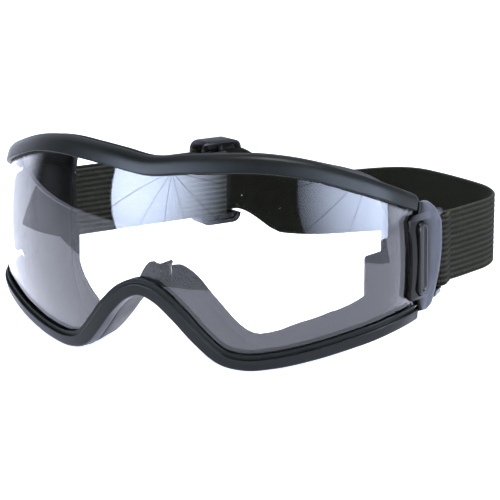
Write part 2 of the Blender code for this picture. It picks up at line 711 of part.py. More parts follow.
def build_slider(group, cutters, hard, material):
    """Three-bar slider on the left run, with the sewn strap end round its middle bar."""
    left = bar_point(-1)
    run = Vector((math.cos(LEFT_HEADING), math.sin(LEFT_HEADING), 0.0))
    out = Vector((-run.y, run.x, 0.0))
    centre = left + run * SLIDER_RUN
    height = SLIDER_WINDOW + 2 * SLIDER_END_HEIGHT
    band_face = BAR_RADIUS + LOOP_CLEARANCE + STRAP_THICKNESS
    outer_face = band_face + SLIDER_BAND_GAP + SLIDER_BAR_THICKNESS
    depth = outer_face - SLIDER_INNER_FACE
    frame = box_object("strap_slider", (SLIDER_LENGTH, depth, height), group)
    frame.location = centre
    frame.rotation_euler = (0.0, 0.0, LEFT_HEADING)
    frame.data.transform(Matrix.Translation((0.0, (outer_face + SLIDER_INNER_FACE) / 2, 0.0)))
    bevel(frame, SLIDER_ROUNDING)
    window = box_object("slider_window", (SLIDER_LENGTH + SLIDER_CUT_MARGIN, depth, SLIDER_WINDOW), cutters)
    window.data.transform(Matrix.Translation((0.0, outer_face - SLIDER_BAR_THICKNESS - depth / 2, 0.0)))
    middle = SLIDER_LENGTH - 2 * SLIDER_BAR_WIDTH
    through = box_object("slider_middle", (middle, depth + 2 * SLIDER_CUT_MARGIN, SLIDER_WINDOW), cutters)
    bar = cylinder_object("slider_bar", SLIDER_CENTRE_BAR_RADIUS, SLIDER_WINDOW + SLIDER_END_HEIGHT, cutters, 12)
    for tool in (window, through, bar):
        tool.location = centre
        tool.rotation_euler = (0.0, 0.0, LEFT_HEADING)
    bar.location = centre + out * SLIDER_CENTRE_OFFSET
    boolean(frame, window, "DIFFERENCE")
    boolean(frame, through, "DIFFERENCE")
    boolean(frame, bar, "UNION")
    finish(frame, hard)
    inner = SLIDER_CENTRE_BAR_RADIUS + LOOP_CLEARANCE
    outer = inner + STRAP_THICKNESS
    loop = cylinder_object("slider_loop", outer, SLIDER_LOOP_WIDTH, group, 16)
    loop.location = centre + out * SLIDER_CENTRE_OFFSET
    loop.rotation_euler = (0.0, 0.0, LEFT_HEADING)
    tail = box_object("loop_tail", (SLIDER_LOOP_TAIL, LOOP_TAIL_THICKNESS, SLIDER_LOOP_WIDTH), cutters)
    tail.location = centre + out * SLIDER_CENTRE_OFFSET - run * SLIDER_LOOP_TAIL / 2
    tail.rotation_euler = (0.0, 0.0, LEFT_HEADING)
    hole = cylinder_object("loop_hole", inner, SLIDER_LOOP_WIDTH * TALL_CUT, cutters, 12)
    hole.location = loop.location
    boolean(loop, tail, "UNION")
    boolean(loop, hole, "DIFFERENCE")
    finish(loop, material)


def main():
    clear_scene()
    goggles = new_collection("safety_goggles")
    cutters = new_collection("cutters")
    rubber = make_material("soft_black", (0.035, 0.037, 0.035), 0.42)
    skirt_rubber = make_material("skirt_black", (0.030, 0.030, 0.030), 0.5)
    clear = make_material("clear_lens", (0.90, 0.93, 0.96), 0.05, 0.3)
    hard = make_material("gloss_black", (0.020, 0.020, 0.020), 0.15)
    lug = make_material("lug_black", (0.030, 0.030, 0.030), 0.25)
    elastic = make_material("elastic_olive_black", (0.045, 0.047, 0.035), 0.9)
    build_front_frame(goggles, rubber)
    build_face_skirt(goggles, cutters, skirt_rubber)
    build_lens(goggles, clear)
    build_side(1, "left", goggles, cutters, hard, lug)
    build_side(-1, "right", goggles, cutters, hard, lug)
    ring("strap_loop_left", bar_point(1), RIGHT_HEADING + math.pi, True, goggles, cutters, elastic)
    ring("strap_loop_right", bar_point(-1), LEFT_HEADING, False, goggles, cutters, elastic)
    build_headband(goggles, cutters, elastic)
    build_slider(goggles, cutters, hard, elastic)


main()
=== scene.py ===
"""Looks of the safety goggles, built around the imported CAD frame.  Metres, +Z up, the lens faces -Y."""
import json
import math

import bmesh
import bpy
from mathutils import Matrix, Vector


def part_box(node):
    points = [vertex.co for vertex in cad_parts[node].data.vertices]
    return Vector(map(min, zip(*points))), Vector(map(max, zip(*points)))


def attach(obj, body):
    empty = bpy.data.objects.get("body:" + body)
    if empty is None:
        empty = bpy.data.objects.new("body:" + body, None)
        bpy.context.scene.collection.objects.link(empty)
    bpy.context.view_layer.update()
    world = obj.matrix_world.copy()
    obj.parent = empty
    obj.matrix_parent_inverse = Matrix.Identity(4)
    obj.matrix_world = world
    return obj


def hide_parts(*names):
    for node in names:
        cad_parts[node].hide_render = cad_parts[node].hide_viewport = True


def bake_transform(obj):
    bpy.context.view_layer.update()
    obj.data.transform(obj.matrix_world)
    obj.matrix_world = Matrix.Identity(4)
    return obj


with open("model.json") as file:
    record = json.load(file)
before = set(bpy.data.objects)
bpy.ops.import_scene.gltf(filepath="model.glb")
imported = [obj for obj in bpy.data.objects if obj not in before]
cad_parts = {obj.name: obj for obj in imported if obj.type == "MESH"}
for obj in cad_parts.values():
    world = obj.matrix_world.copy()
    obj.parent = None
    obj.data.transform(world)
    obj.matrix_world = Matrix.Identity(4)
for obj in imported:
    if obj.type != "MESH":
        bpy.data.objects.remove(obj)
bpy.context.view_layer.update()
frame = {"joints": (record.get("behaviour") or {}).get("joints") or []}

# ---------------------------------------------------------------- driving dimensions, as in the CAD source
FRONT_RADIUS = 0.1022
FRONT_HALF_ARC = 0.0783
CORNER_RADIUS = 0.0267
TEMPLE_HEADING = math.radians(83.3)
TEMPLE_LENGTH = 0.0094
VERTICAL_RADIUS = 0.1093
TOP_KNOTS = ((0.0, 0.0345), (0.014, 0.0359), (0.028, 0.0368), (0.042, 0.0370), (0.058, 0.0352),
             (0.074, 0.0309), (0.090, 0.0256), (0.106, 0.0196))
BOTTOM_KNOTS = ((0.0, -0.0065), (0.007, -0.0090), (0.014, -0.0152), (0.021, -0.0229), (0.028, -0.0291),
                (0.036, -0.0312), (0.046, -0.0303), (0.060, -0.0271), (0.075, -0.0227), (0.090, -0.0184),
                (0.106, -0.0161))
END_CORNER_RADIUS = 0.005
RIM_HEIGHT = 0.0059
RIM_DEPTH = 0.0064
LENS_THICKNESS = 0.0022
LENS_BITE = -0.0002
GROOVE_DEPTH = 0.0010
BEAD_END_INSET = 0.00375
BEAD_END_LENGTH = 0.0012
BEAD_END_SLOPE = 0.561
TEMPLE_FACE_OFFSET = 0.0011
SKIRT_STANDOFF = 0.0049
FACE_FRONT_Y = 0.022
FACE_CURVE = 9.5
NOSE_FORWARD = 0.0065
NOSE_HALF_WIDTH = 0.009
FACE_HALF_WIDTH_OUTER = 0.070
FACE_HALF_WIDTH_INNER = 0.0645
FACE_SHARPNESS = 4.0
SKIRT_FRONT_RISE = 0.0016
SKIRT_REAR_RISE = 0.0020
SKIRT_BROW_DROP = 0.0068
BROW_LIP = 0.0068
CHEEK_LIP = ((0.0, 0.0066), (0.006, 0.0050), (0.012, 0.0028), (0.018, 0.0020), (0.024, 0.0020),
             (0.031, 0.0045), (0.040, 0.0072), (0.055, 0.0085), (0.075, 0.0080), (0.106, 0.0075))
CLIP_GAP = 0.0003
CLIP_THICKNESS = 0.0013
CLIP_START = 0.0115
CLIP_FRONT_GAP = 0.0007
CLIP_TOP_Z = 0.0212
CLIP_BOTTOM_Z = -0.0168
CLIP_CORNER = 0.0020
CLIP_BACK_BOW = 0.0009
CLIP_FLANGE_WIDTH = 0.0019
CLIP_BACK_LOW = 0.0034
CLIP_BACK_HIGH = 0.0078
CLIP_BACK_LOW_Z = -0.0112
CLIP_BACK_HIGH_Z = 0.0138
CLIP_FLANGE_RISE = 0.0014
CLIP_NECK_TOP_Z = 0.0176
CLIP_NECK_BOTTOM_Z = -0.0120
LUG_WIDTH = 0.0056
LUG_HEIGHT = 0.0255
LUG_CENTRE_S = -0.0043
LUG_CENTRE_Z = 0.0021
LUG_PROUD = 0.0012
LUG_CLEARANCE = 0.0004
BAR_S = 0.0158
BAR_U = -0.0030
BAR_RADIUS = 0.0016
ARM_GAP = 0.0004
ARM_HEIGHT = 0.0015
ARM_START_S = 0.0009
ARM_KNEE_S = 0.0066
ARM_ROOT_U = 0.0019
ARM_BASE_U = 0.0025
STRAP_WIDTH = 0.0255
STRAP_THICKNESS = 0.0015
STRAP_CENTRE_Z = 0.0010
LOOP_CLEARANCE = 0.00035
LEFT_HEADING = math.radians(63.0)
RIGHT_HEADING = math.radians(-99.0)
LEFT_RUN = 0.086
REAR_CORNER_RADIUS = 0.014
REAR_SAG = 0.0095
SAG_PEAK = 0.11
SAG_END = 0.50
REAR_HEADING = math.radians(2.0)
REAR_END_HEADING = math.radians(-34.0)
SIDE_RADIUS = 0.028
SLIDER_RUN = 0.0760
SLIDER_LENGTH = 0.0190
SLIDER_WINDOW = 0.0262
SLIDER_END_HEIGHT = 0.0037
SLIDER_BAR_WIDTH = 0.0038
SLIDER_BAR_THICKNESS = 0.0022
SLIDER_CENTRE_BAR_RADIUS = 0.0010
SLIDER_CENTRE_OFFSET = -0.0012
SLIDER_INNER_FACE = -0.0024

# Where the layout's zero sits in the frame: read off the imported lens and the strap's hinge
tilt = next(joint for joint in frame["joints"] if joint["name"] == "strap_tilt")
SHIFT_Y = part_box("lens")[0].y + LENS_THICKNESS / 2
SHIFT_Z = tilt["pos_m"][2] - STRAP_CENTRE_Z

# ---------------------------------------------------------------- camera
CAMERA_AZIMUTH = math.radians(27.33)
CAMERA_ELEVATION = math.radians(12.93)
CAMERA_ROLL = math.radians(0.31)
CAMERA_DISTANCE = 0.8796
CAMERA_LENS = 178.6
AIM = Vector((0.01456, SHIFT_Y + 0.0518, SHIFT_Z - 0.00279))


def make_camera():
    """Camera at the photograph's angle, rolled a little, aimed at AIM."""
    back = Vector((math.sin(CAMERA_AZIMUTH) * math.cos(CAMERA_ELEVATION),
                   -math.cos(CAMERA_AZIMUTH) * math.cos(CAMERA_ELEVATION),
                   math.sin(CAMERA_ELEVATION)))
    right = Vector((math.cos(CAMERA_AZIMUTH), math.sin(CAMERA_AZIMUTH), 0.0))
    up = back.cross(right)
    spun_right = right * math.cos(CAMERA_ROLL) + up * math.sin(CAMERA_ROLL)
    spun_up = up * math.cos(CAMERA_ROLL) - right * math.sin(CAMERA_ROLL)
    data = bpy.data.cameras.new("camera")
    data.lens = CAMERA_LENS
    data.sensor_width = 36.0
    data.clip_start = 0.05
    data.clip_end = 20.0
    camera = bpy.data.objects.new("camera", data)
    camera.matrix_world = Matrix.Translation(AIM + back * CAMERA_DISTANCE) @ Matrix(
        (spun_right, spun_up, back)).transposed().to_4x4()
    bpy.context.scene.collection.objects.link(camera)
    bpy.context.scene.camera = camera


# ---------------------------------------------------------------- meshes
def link_mesh(name, points, faces):
    mesh = bpy.data.meshes.new(name)
    mesh.from_pydata([tuple(p) for p in points], [], faces)
    item = bpy.data.objects.new(name, mesh)
    bpy.context.scene.collection.objects.link(item)
    bm = bmesh.new()
    bm.from_mesh(mesh)
    bmesh.ops.recalc_face_normals(bm, faces=bm.faces)
    bm.to_mesh(mesh)
    bm.free()
    return item


def loft(name, rows, closed_rows=False, closed_row=True, caps=False):
    """Mesh through equal-length rows of points."""
    width = len(rows[0])
    count = len(rows)
    faces = []
    for i in range(count if closed_rows else count - 1):
        k = (i + 1) % count
        for j in range(width if closed_row else width - 1):
            m = (j + 1) % width
            faces.append((i * width + j, i * width + m, k * width + m, k * width + j))
    if caps:
        last = (count - 1) * width
        faces += [tuple(range(width)), tuple(range(last, last + width))]
    return link_mesh(name, [point for row in rows for point in row], faces)


def shade(item, angle):
    item.data.shade_smooth()
    item.data.set_sharp_from_angle(angle=math.radians(angle))


def apply_modifiers(item):
    bpy.context.view_layer.update()
    graph = bpy.context.evaluated_depsgraph_get()
    mesh = bpy.data.meshes.new_from_object(item.evaluated_get(graph))
    item.modifiers.clear()
    item.data = mesh


def cut(item, tool, operation="DIFFERENCE"):
    """Boolean with a tool that is removed afterwards."""
    step = item.modifiers.new("cut", "BOOLEAN")
    step.operation = operation
    step.object = tool
    step.solver = "EXACT"
    apply_modifiers(item)
    bpy.data.objects.remove(tool, do_unlink=True)


def bevel(item, width, segments, angle):
    """Rounds the edges sharper than an angle in degrees."""
    edges = item.modifiers.new("bevel", "BEVEL")
    edges.width = width
    edges.segments = segments
    edges.limit_method = "ANGLE"
    edges.angle_limit = math.radians(angle)
    apply_modifiers(item)


def box_tool(size, place):
    """Box of the given size moved by a matrix."""
    bm = bmesh.new()
    bmesh.ops.create_cube(bm, size=1.0, matrix=place @ Matrix.Diagonal((*size, 1.0)))
    return item_from(bm, "tool")


def bar_tool(radius, length, place):
    """Upright round bar centred on a matrix."""
    bm = bmesh.new()
    bmesh.ops.create_cone(bm, cap_ends=True, segments=32, radius1=radius, radius2=radius, depth=length,
                          matrix=place)
    return item_from(bm, "tool")


def item_from(bm, name):
    """Linked object made from a bmesh, which is freed."""
    mesh = bpy.data.meshes.new(name)
    bm.to_mesh(mesh)
    bm.free()
    item = bpy.data.objects.new(name, mesh)
    bpy.context.scene.collection.objects.link(item)
    return item


def facing(place, away):
    """Matrix at a place with its local Z along a direction."""
    return Matrix.Translation(place) @ away.to_track_quat("Z", "Y").to_matrix().to_4x4()


def filleted(corners, steps=5):
    """Closed outline through corners (u, v, radius), each corner rounded by a curve of steps + 1 points."""
    outline = []
    count = len(corners)
    for i, (x, y, radius) in enumerate(corners):
        before = Vector(corners[i - 1][:2])
        after = Vector(corners[(i + 1) % count][:2])
        here = Vector((x, y))
        a = before - here
        b = after - here
        half = max(a.angle(b, math.pi) / 2, 0.01)
        reach = min(radius / math.tan(half), 0.49 * a.length, 0.49 * b.length)
        start = here + a.normalized() * reach
        end = here + b.normalized() * reach
        for k in range(steps + 1):
            t = k / steps
            p = start * (1 - t) ** 2 + here * 2 * t * (1 - t) + end * t**2
            outline.append((p.x, p.y))
    return outline


def smooth_path(points, spacing):
    """Points along a Catmull-Rom curve through the given ones, about spacing apart."""
    result = []
    for i in range(len(points) - 1):
        p1 = points[i]
        p2 = points[i + 1]
        p0 = points[i - 1] if i else p1 * 2 - p2
        p3 = points[i + 2] if i + 2 < len(points) else p2 * 2 - p1
        count = max(1, round((p2 - p1).length / spacing))
        for k in range(count):
            t = k / count
            result.append(0.5 * (2 * p1 + (p2 - p0) * t + (2 * p0 - 5 * p1 + 4 * p2 - p3) * t**2
                                 + (3 * p1 - p0 - 3 * p2 + p3) * t**3))
    result.append(points[-1])
    return result


def lengths_along(points, start=0.0):
    """Distance of each point along its path."""
    lengths = [start]
    for a, b in zip(points[:-1], points[1:]):
        lengths.append(lengths[-1] + (b - a).length)
    return lengths


def ramp(value, start, length):
    """0 before start, 1 from start + length, smooth between."""
    t = min(max((value - start) / length, 0.0), 1.0)
    return t * t * (3 - 2 * t)


# ---------------------------------------------------------------- layout surface
def spline(knots, x):
    """Cubic Hermite curve through the knots, level at the first one, read at |x|."""
    x = min(abs(x), knots[-1][0])
    slopes = [0.0]
    for a, b, c in zip(knots[:-2], knots[1:-1], knots[2:]):
        left = (b[1] - a[1]) / (b[0] - a[0])
        right = (c[1] - b[1]) / (c[0] - b[0])
        left_span = b[0] - a[0]
        right_span = c[0] - b[0]
        slopes.append((left * right_span + right * left_span) / (left_span + right_span))
    slopes.append((knots[-1][1] - knots[-2][1]) / (knots[-1][0] - knots[-2][0]))
    for i in range(len(knots) - 1):
        if x <= knots[i + 1][0]:
            break
    span = knots[i + 1][0] - knots[i][0]
    t = (x - knots[i][0]) / span
    h00 = 2 * t**3 - 3 * t**2 + 1
    h10 = t**3 - 2 * t**2 + t
    h01 = -2 * t**3 + 3 * t**2
    h11 = t**3 - t**2
    return (h00 * knots[i][1] + h10 * span * slopes[i]
            + h01 * knots[i + 1][1] + h11 * span * slopes[i + 1])


FRONT_HEADING = FRONT_HALF_ARC / FRONT_RADIUS
CORNER_END = FRONT_HALF_ARC + CORNER_RADIUS * (TEMPLE_HEADING - FRONT_HEADING)
HALF = CORNER_END + TEMPLE_LENGTH
RIM_END = HALF - 0.0015


def plan(s):
    """Point and heading of the plan curve at a signed distance from the middle."""
    a = abs(s)
    sign = -1.0 if s < 0 else 1.0
    if a < FRONT_HALF_ARC:
        heading = a / FRONT_RADIUS
        x = FRONT_RADIUS * math.sin(heading)
        y = FRONT_RADIUS * (1 - math.cos(heading))
    else:
        heading = min(FRONT_HEADING + (a - FRONT_HALF_ARC) / CORNER_RADIUS, TEMPLE_HEADING)
        x = (FRONT_RADIUS * math.sin(FRONT_HEADING)
             + CORNER_RADIUS * (math.sin(heading) - math.sin(FRONT_HEADING)))
        y = (FRONT_RADIUS * (1 - math.cos(FRONT_HEADING))
             + CORNER_RADIUS * (math.cos(FRONT_HEADING) - math.cos(heading)))
        x += max(a - CORNER_END, 0.0) * math.cos(TEMPLE_HEADING)
        y += max(a - CORNER_END, 0.0) * math.sin(TEMPLE_HEADING)
    return sign * x, y, sign * heading


def wrap(s, z, u):
    """Point at distance s, height z and outward offset u of the toric lens surface."""
    x, y, heading = plan(s)
    out = u - z * z / (2 * VERTICAL_RADIUS)
    return Vector((x + math.sin(heading) * out,
                   y - math.cos(heading) * out + SHIFT_Y,
                   z + SHIFT_Z))


def rounded_height(knots, s, inward):
    """Height of the rim's edge, turned inward by a quarter circle at each end."""
    height = spline(knots, s)
    over = min(max(abs(s) - (RIM_END - END_CORNER_RADIUS), 0.0), END_CORNER_RADIUS)
    drop = END_CORNER_RADIUS - math.sqrt(max(END_CORNER_RADIUS**2 - over**2, 0.0))
    return height + inward * drop


def rim_loop(stations=150, column=24, corner=14):
    """Closed centreline of the rim: (s, z, outward s, outward z, share of the lower half)."""
    straight = RIM_END - END_CORNER_RADIUS
    half = [straight * i / stations for i in range(stations + 1)]
    half += [straight + END_CORNER_RADIUS * math.sin(math.pi / 2 * i / corner) for i in range(1, corner + 1)]
    positions = [-s for s in reversed(half[1:])] + half
    top = [(s, rounded_height(TOP_KNOTS, s, -1), 0.0) for s in positions]
    bottom = [(s, rounded_height(BOTTOM_KNOTS, s, 1), 1.0) for s in positions]
    right = [(RIM_END, top[-1][1] + (bottom[-1][1] - top[-1][1]) * i / column, i / column)
             for i in range(1, column)]
    left = [(-s, z, low) for s, z, low in reversed(right)]
    loop = top + right + bottom[::-1] + left
    result = []
    for i, (s, z, low) in enumerate(loop):
        before = loop[i - 1]
        after = loop[(i + 1) % len(loop)]
        ds = after[0] - before[0]
        dz = after[1] - before[1]
        length = math.hypot(ds, dz)
        result.append((s, z, -dz / length, ds / length, low))
    return result, len(positions), column


def bar_point(side):
    """Centre of a clip's strap bar."""
    point = wrap(side * (HALF + BAR_S), 0.0, BAR_U)
    return Vector((point.x, point.y, STRAP_CENTRE_Z + SHIFT_Z))


# ---------------------------------------------------------------- materials
def new_material(name, color, roughness):
    material = bpy.data.materials.new(name)
    material.use_nodes = True
    shader = material.node_tree.nodes["Principled BSDF"]
    shader.inputs["Base Color"].default_value = (*color, 1.0)
    shader.inputs["Roughness"].default_value = roughness
    return material, material.node_tree, shader


def add(tree, kind, **values):
    node = tree.nodes.new(kind)
    for key, value in values.items():
        setattr(node, key, value)
    return node


def object_place(tree):
    return add(tree, "ShaderNodeTexCoord").outputs["Object"]


def noise(tree, place, scale, detail=3.0, stretch=None):
    if stretch:
        mapping = add(tree, "ShaderNodeMapping")
        mapping.inputs["Scale"].default_value = stretch
        tree.links.new(place, mapping.inputs["Vector"])
        place = mapping.outputs["Vector"]
    node = add(tree, "ShaderNodeTexNoise")
    node.inputs["Scale"].default_value = scale
    node.inputs["Detail"].default_value = detail
    tree.links.new(place, node.inputs["Vector"])
    return node.outputs["Fac"]


def math_node(tree, operation, a, b=None, c=None):
    node = add(tree, "ShaderNodeMath", operation=operation)
    for socket, value in zip(node.inputs, (a, b, c)):
        if value is None:
            continue
        if isinstance(value, (int, float)):
            socket.default_value = value
        else:
            tree.links.new(value, socket)
    return node.outputs[0]


def multiply(tree, *values):
    result = values[0]
    for value in values[1:]:
        result = math_node(tree, "MULTIPLY", result, value)
    return result


def color_ramp(tree, factor, stops):
    node = add(tree, "ShaderNodeValToRGB")
    elements = node.color_ramp.elements
    while len(elements) < len(stops):
        elements.new(0.5)
    for element, (position, color) in zip(elements, stops):
        element.position = position
        element.color = (*color, 1.0)
    tree.links.new(factor, node.inputs["Fac"])
    return node.outputs["Color"]


def value_range(tree, factor, low, high, out_low, out_high, kind="LINEAR"):
    node = add(tree, "ShaderNodeMapRange", interpolation_type=kind)
    tree.links.new(factor, node.inputs["Value"])
    for name, value in (("From Min", low), ("From Max", high), ("To Min", out_low), ("To Max", out_high)):
        node.inputs[name].default_value = value
    return node.outputs["Result"]


def bump(tree, shader, height, distance):
    node = add(tree, "ShaderNodeBump")
    node.inputs["Distance"].default_value = distance
    node.inputs["Strength"].default_value = 1.0
    tree.links.new(height, node.inputs["Height"])
    tree.links.new(node.outputs["Normal"], shader.inputs["Normal"])


# Moulded materials: dark and light colour, roughness range, grain scale and depth, specular level
MOULDED = {
    "soft_black": ((0.014, 0.016, 0.014), (0.022, 0.025, 0.023), (0.30, 0.44), 1500.0, 0.00003, 0.16),
    "skirt_black": ((0.007, 0.007, 0.004), (0.013, 0.013, 0.009), (0.38, 0.55), 1100.0, 0.00004, 0.14),
    "gloss_black": ((0.006, 0.006, 0.004), (0.010, 0.011, 0.008), (0.10, 0.22), 800.0, 0.000006, 0.22),
    "lug_black": ((0.010, 0.011, 0.009), (0.016, 0.018, 0.016), (0.16, 0.28), 900.0, 0.00001, 0.25),
    "clip_black": ((0.006, 0.006, 0.003), (0.010, 0.010, 0.006), (0.12, 0.24), 800.0, 0.000006, 0.08),
}


def moulded(name):
    """Moulded rubber or plastic: mottled colour, uneven gloss, fine grain and a few scuffs."""
    dark, light, roughness, grain_scale, grain_depth, specular = MOULDED[name]
    material, tree, shader = new_material(name, dark, roughness[0])
    shader.inputs["Specular IOR Level"].default_value = specular
    place = object_place(tree)
    cloud = noise(tree, place, 45.0, 4.0)
    grain = noise(tree, place, grain_scale, 2.0)
    scuff_and_highlight_mottle = noise(tree, place, 240.0, 5.0, (1.0, 1.0, 4.0))
    tree.links.new(color_ramp(tree, cloud, ((0.3, dark), (0.72, light))), shader.inputs["Base Color"])
    gloss = math_node(tree, "ADD", cloud, multiply(tree, scuff_and_highlight_mottle, 0.5))
    tree.links.new(value_range(tree, gloss, 0.45, 1.05, *roughness), shader.inputs["Roughness"])
    bump(tree, shader, grain, grain_depth)
    return material


def clear_plastic():
    """Clear polycarbonate with faint smears and a few dust specks."""
    material, tree, shader = new_material("clear_lens", (0.975, 0.985, 0.99), 0.0)
    shader.inputs["Transmission Weight"].default_value = 1.0
    shader.inputs["IOR"].default_value = 1.52
    place = object_place(tree)
    smear = noise(tree, place, 60.0, 5.0, (1.0, 1.0, 2.5))
    dust = add(tree, "ShaderNodeTexVoronoi")
    dust.inputs["Scale"].default_value = 150.0
    tree.links.new(place, dust.inputs["Vector"])
    speck = value_range(tree, dust.outputs["Distance"], 0.02, 0.045, 0.35, 0.0)
    smooth = value_range(tree, smear, 0.5, 0.8, 0.0, 0.035)
    tree.links.new(math_node(tree, "MAXIMUM", speck, smooth), shader.inputs["Roughness"])
    return material


RIB_COUNT = 13
THREAD_PITCH = 0.00085
WARP_PITCH = 0.0009
WEFT_PITCH = 0.0011


def elastic():
    """Ribbed elastic webbing: the weave attribute holds length and height in metres, and the side."""
    material, tree, shader = new_material("elastic_olive_black", (0.03, 0.03, 0.018), 0.85)
    shader.inputs["Sheen Weight"].default_value = 0.06
    shader.inputs["Sheen Roughness"].default_value = 0.5
    shader.inputs["Sheen Tint"].default_value = (0.75, 0.8, 0.7, 1.0)
    shader.inputs["Specular IOR Level"].default_value = 0.06
    attribute = add(tree, "ShaderNodeAttribute", attribute_name="weave")
    parts = add(tree, "ShaderNodeSeparateXYZ")
    tree.links.new(attribute.outputs["Vector"], parts.inputs[0])
    along, across, side = parts.outputs
    phase = multiply(tree, across, 2 * math.pi * RIB_COUNT / STRAP_WIDTH)
    # Outer face: each rib is a row of slanting wrapped threads, alternate ribs slanting the other way
    slant = math_node(tree, "SINE", multiply(tree, phase, 0.5))
    wrap_phase = math_node(tree, "ADD", multiply(tree, along, 2 * math.pi / THREAD_PITCH),
                           multiply(tree, slant, 1.4))
    wrapped = math_node(tree, "MULTIPLY_ADD", math_node(tree, "SINE", wrap_phase), 0.5, 0.5)
    # Inner face: plain weave
    warp = math_node(tree, "SINE", multiply(tree, along, 2 * math.pi / WARP_PITCH))
    weft = math_node(tree, "SINE", multiply(tree, across, 2 * math.pi / WEFT_PITCH))
    plain = math_node(tree, "MULTIPLY_ADD", multiply(tree, warp, weft), 0.5, 0.5)
    outer = math_node(tree, "GREATER_THAN", side, 0.5)
    choose = add(tree, "ShaderNodeMix")
    tree.links.new(outer, choose.inputs["Factor"])
    tree.links.new(plain, choose.inputs["A"])
    tree.links.new(wrapped, choose.inputs["B"])
    thread = choose.outputs["Result"]
    fuzz = noise(tree, attribute.outputs["Vector"], 2600.0, 3.0)
    wear = noise(tree, attribute.outputs["Vector"], 90.0, 3.0)
    mixed = math_node(tree, "MULTIPLY_ADD", fuzz, 0.9, multiply(tree, thread, 0.55))
    mixed = math_node(tree, "MULTIPLY_ADD", wear, 0.25, mixed)
    # Painted highlight and shade: the outer ribs' tops are coloured lighter and the grooves between them
    # darker, as light falls on them
    rib_crest_light = math_node(tree, "MULTIPLY_ADD", math_node(tree, "COSINE", phase), -0.5, 0.5)
    mixed = math_node(tree, "MULTIPLY_ADD", multiply(tree, rib_crest_light, outer), 0.8, mixed)
    # A ramp's positions end at 1, so the sum is halved
    stops = ((0.275, (0.006, 0.006, 0.003)), (0.575, (0.028, 0.029, 0.017)), (0.925, (0.150, 0.150, 0.115)))
    tree.links.new(color_ramp(tree, multiply(tree, mixed, 0.5), stops), shader.inputs["Base Color"])
    height = math_node(tree, "MULTIPLY_ADD", fuzz, 0.6, thread)
    bump(tree, shader, height, 0.00016)
    return material


def paint_flange_highlight(material):
    """The clip's raised flange is painted a pale bluish grey, lighter than its plate: a painted highlight
    standing for a bright reflection on the band.
    """
    tree = material.node_tree
    shader = tree.nodes["Principled BSDF"]
    base = shader.inputs["Base Color"].links[0].from_socket
    flange = add(tree, "ShaderNodeAttribute", attribute_name="flange")
    scuff_and_highlight_mottle = noise(tree, object_place(tree), 180.0, 4.0, (1.0, 1.0, 0.4))
    # Painted highlight: pale bluish grey on the flange band, mottled by noise
    pale = color_ramp(tree, scuff_and_highlight_mottle, ((0.35, (0.36, 0.39, 0.48)), (0.7, (0.48, 0.51, 0.62))))
    mix = add(tree, "ShaderNodeMix", data_type="RGBA")
    tree.links.new(flange.outputs["Fac"], mix.inputs["Factor"])
    sides = [socket for socket in mix.inputs if socket.type == "RGBA"]
    tree.links.new(base, sides[0])
    tree.links.new(pale, sides[1])
    color = next(socket for socket in mix.outputs if socket.type == "RGBA")
    tree.links.new(color, shader.inputs["Base Color"])
    return material


def thread_material():
    material, tree, shader = new_material("stitch_thread", (0.02, 0.02, 0.015), 0.6)
    place = object_place(tree)
    twist = noise(tree, place, 3500.0, 2.0)
    tree.links.new(color_ramp(tree, twist, ((0.35, (0.012, 0.012, 0.009)), (0.7, (0.06, 0.06, 0.048)))),
                   shader.inputs["Base Color"])
    bump(tree, shader, twist, 0.00005)
    return material


def dress(item, material, slot, body, *nodes):
    """Gives a piece its material, the body it rides if it has one, and the nodes it replaces; the slot
    argument is not used.
    """
    item.data.materials.clear()
    item.data.materials.append(material)
    if body:
        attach(item, body)
    if nodes:
        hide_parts(*nodes)
    return item


# ---------------------------------------------------------------- rim
def rim_outline(low):
    """Rim section (u forwards, v outwards): a round bead (low 0) to a stepped, flat-fronted band (low 1)."""
    half_depth = RIM_DEPTH / 2
    half_height = RIM_HEIGHT / 2
    slot = LENS_THICKNESS / 2 + 0.00025
    bead = ((slot, -half_height, 0.0002), (slot + 0.0002, -half_height, 0.0001),
            (slot + 0.0003, -half_height, 0.0001), (half_depth, -half_height, 0.0019),
            (half_depth, half_height, 0.0030), (-half_depth, half_height, 0.0028),
            (-half_depth, -half_height, 0.0012), (-slot, -half_height, 0.0003),
            (-slot, GROOVE_DEPTH, 0.0001), (slot, GROOVE_DEPTH, 0.0001))
    band = ((slot, -half_height, 0.0002), (slot + 0.0008, -half_height, 0.0003),
            (slot + 0.0007, -half_height + 0.0015, 0.0003), (half_depth, -half_height + 0.0017, 0.0005),
            (half_depth - 0.0003, half_height, 0.0011), (-half_depth, half_height, 0.0016),
            (-half_depth, -half_height, 0.0012), (-slot, -half_height, 0.0003),
            (-slot, GROOVE_DEPTH, 0.0001), (slot, GROOVE_DEPTH, 0.0001))
    mixed = [tuple(a + (b - a) * low for a, b in zip(p, q)) for p, q in zip(bead, band)]
    return filleted(mixed, 6)


def low_strip(outline, blend):
    """Flattens the outline's front to the temple face, where the side clip covers the rim."""
    low = GROOVE_DEPTH + 0.0002
    result = []
    for u, v in outline:
        target_u = min(u, TEMPLE_FACE_OFFSET)
        share = (v + RIM_HEIGHT / 2) / RIM_HEIGHT
        target_v = low + share * (RIM_HEIGHT / 2 - low) if u > 0 else v
        result.append((u + (target_u - u) * blend, v + (target_v - v) * blend))
    return result


def build_rim(material):
    """Rim swept round its centreline, thinned to a strip where the clips cover it."""
    rows = []
    for s, z, ns, nz, low in rim_loop()[0]:
        blend = ramp(abs(s), RIM_END - BEAD_END_INSET, 0.0007)
        outline = low_strip(rim_outline(low), blend)
        rows.append([wrap(s + ns * v, z + nz * v, u) for u, v in outline])
    item = loft("rim", rows, closed_rows=True)
    shade(item, 38.0)
    dress(item, material, "soft_black", "goggles", "front_frame")


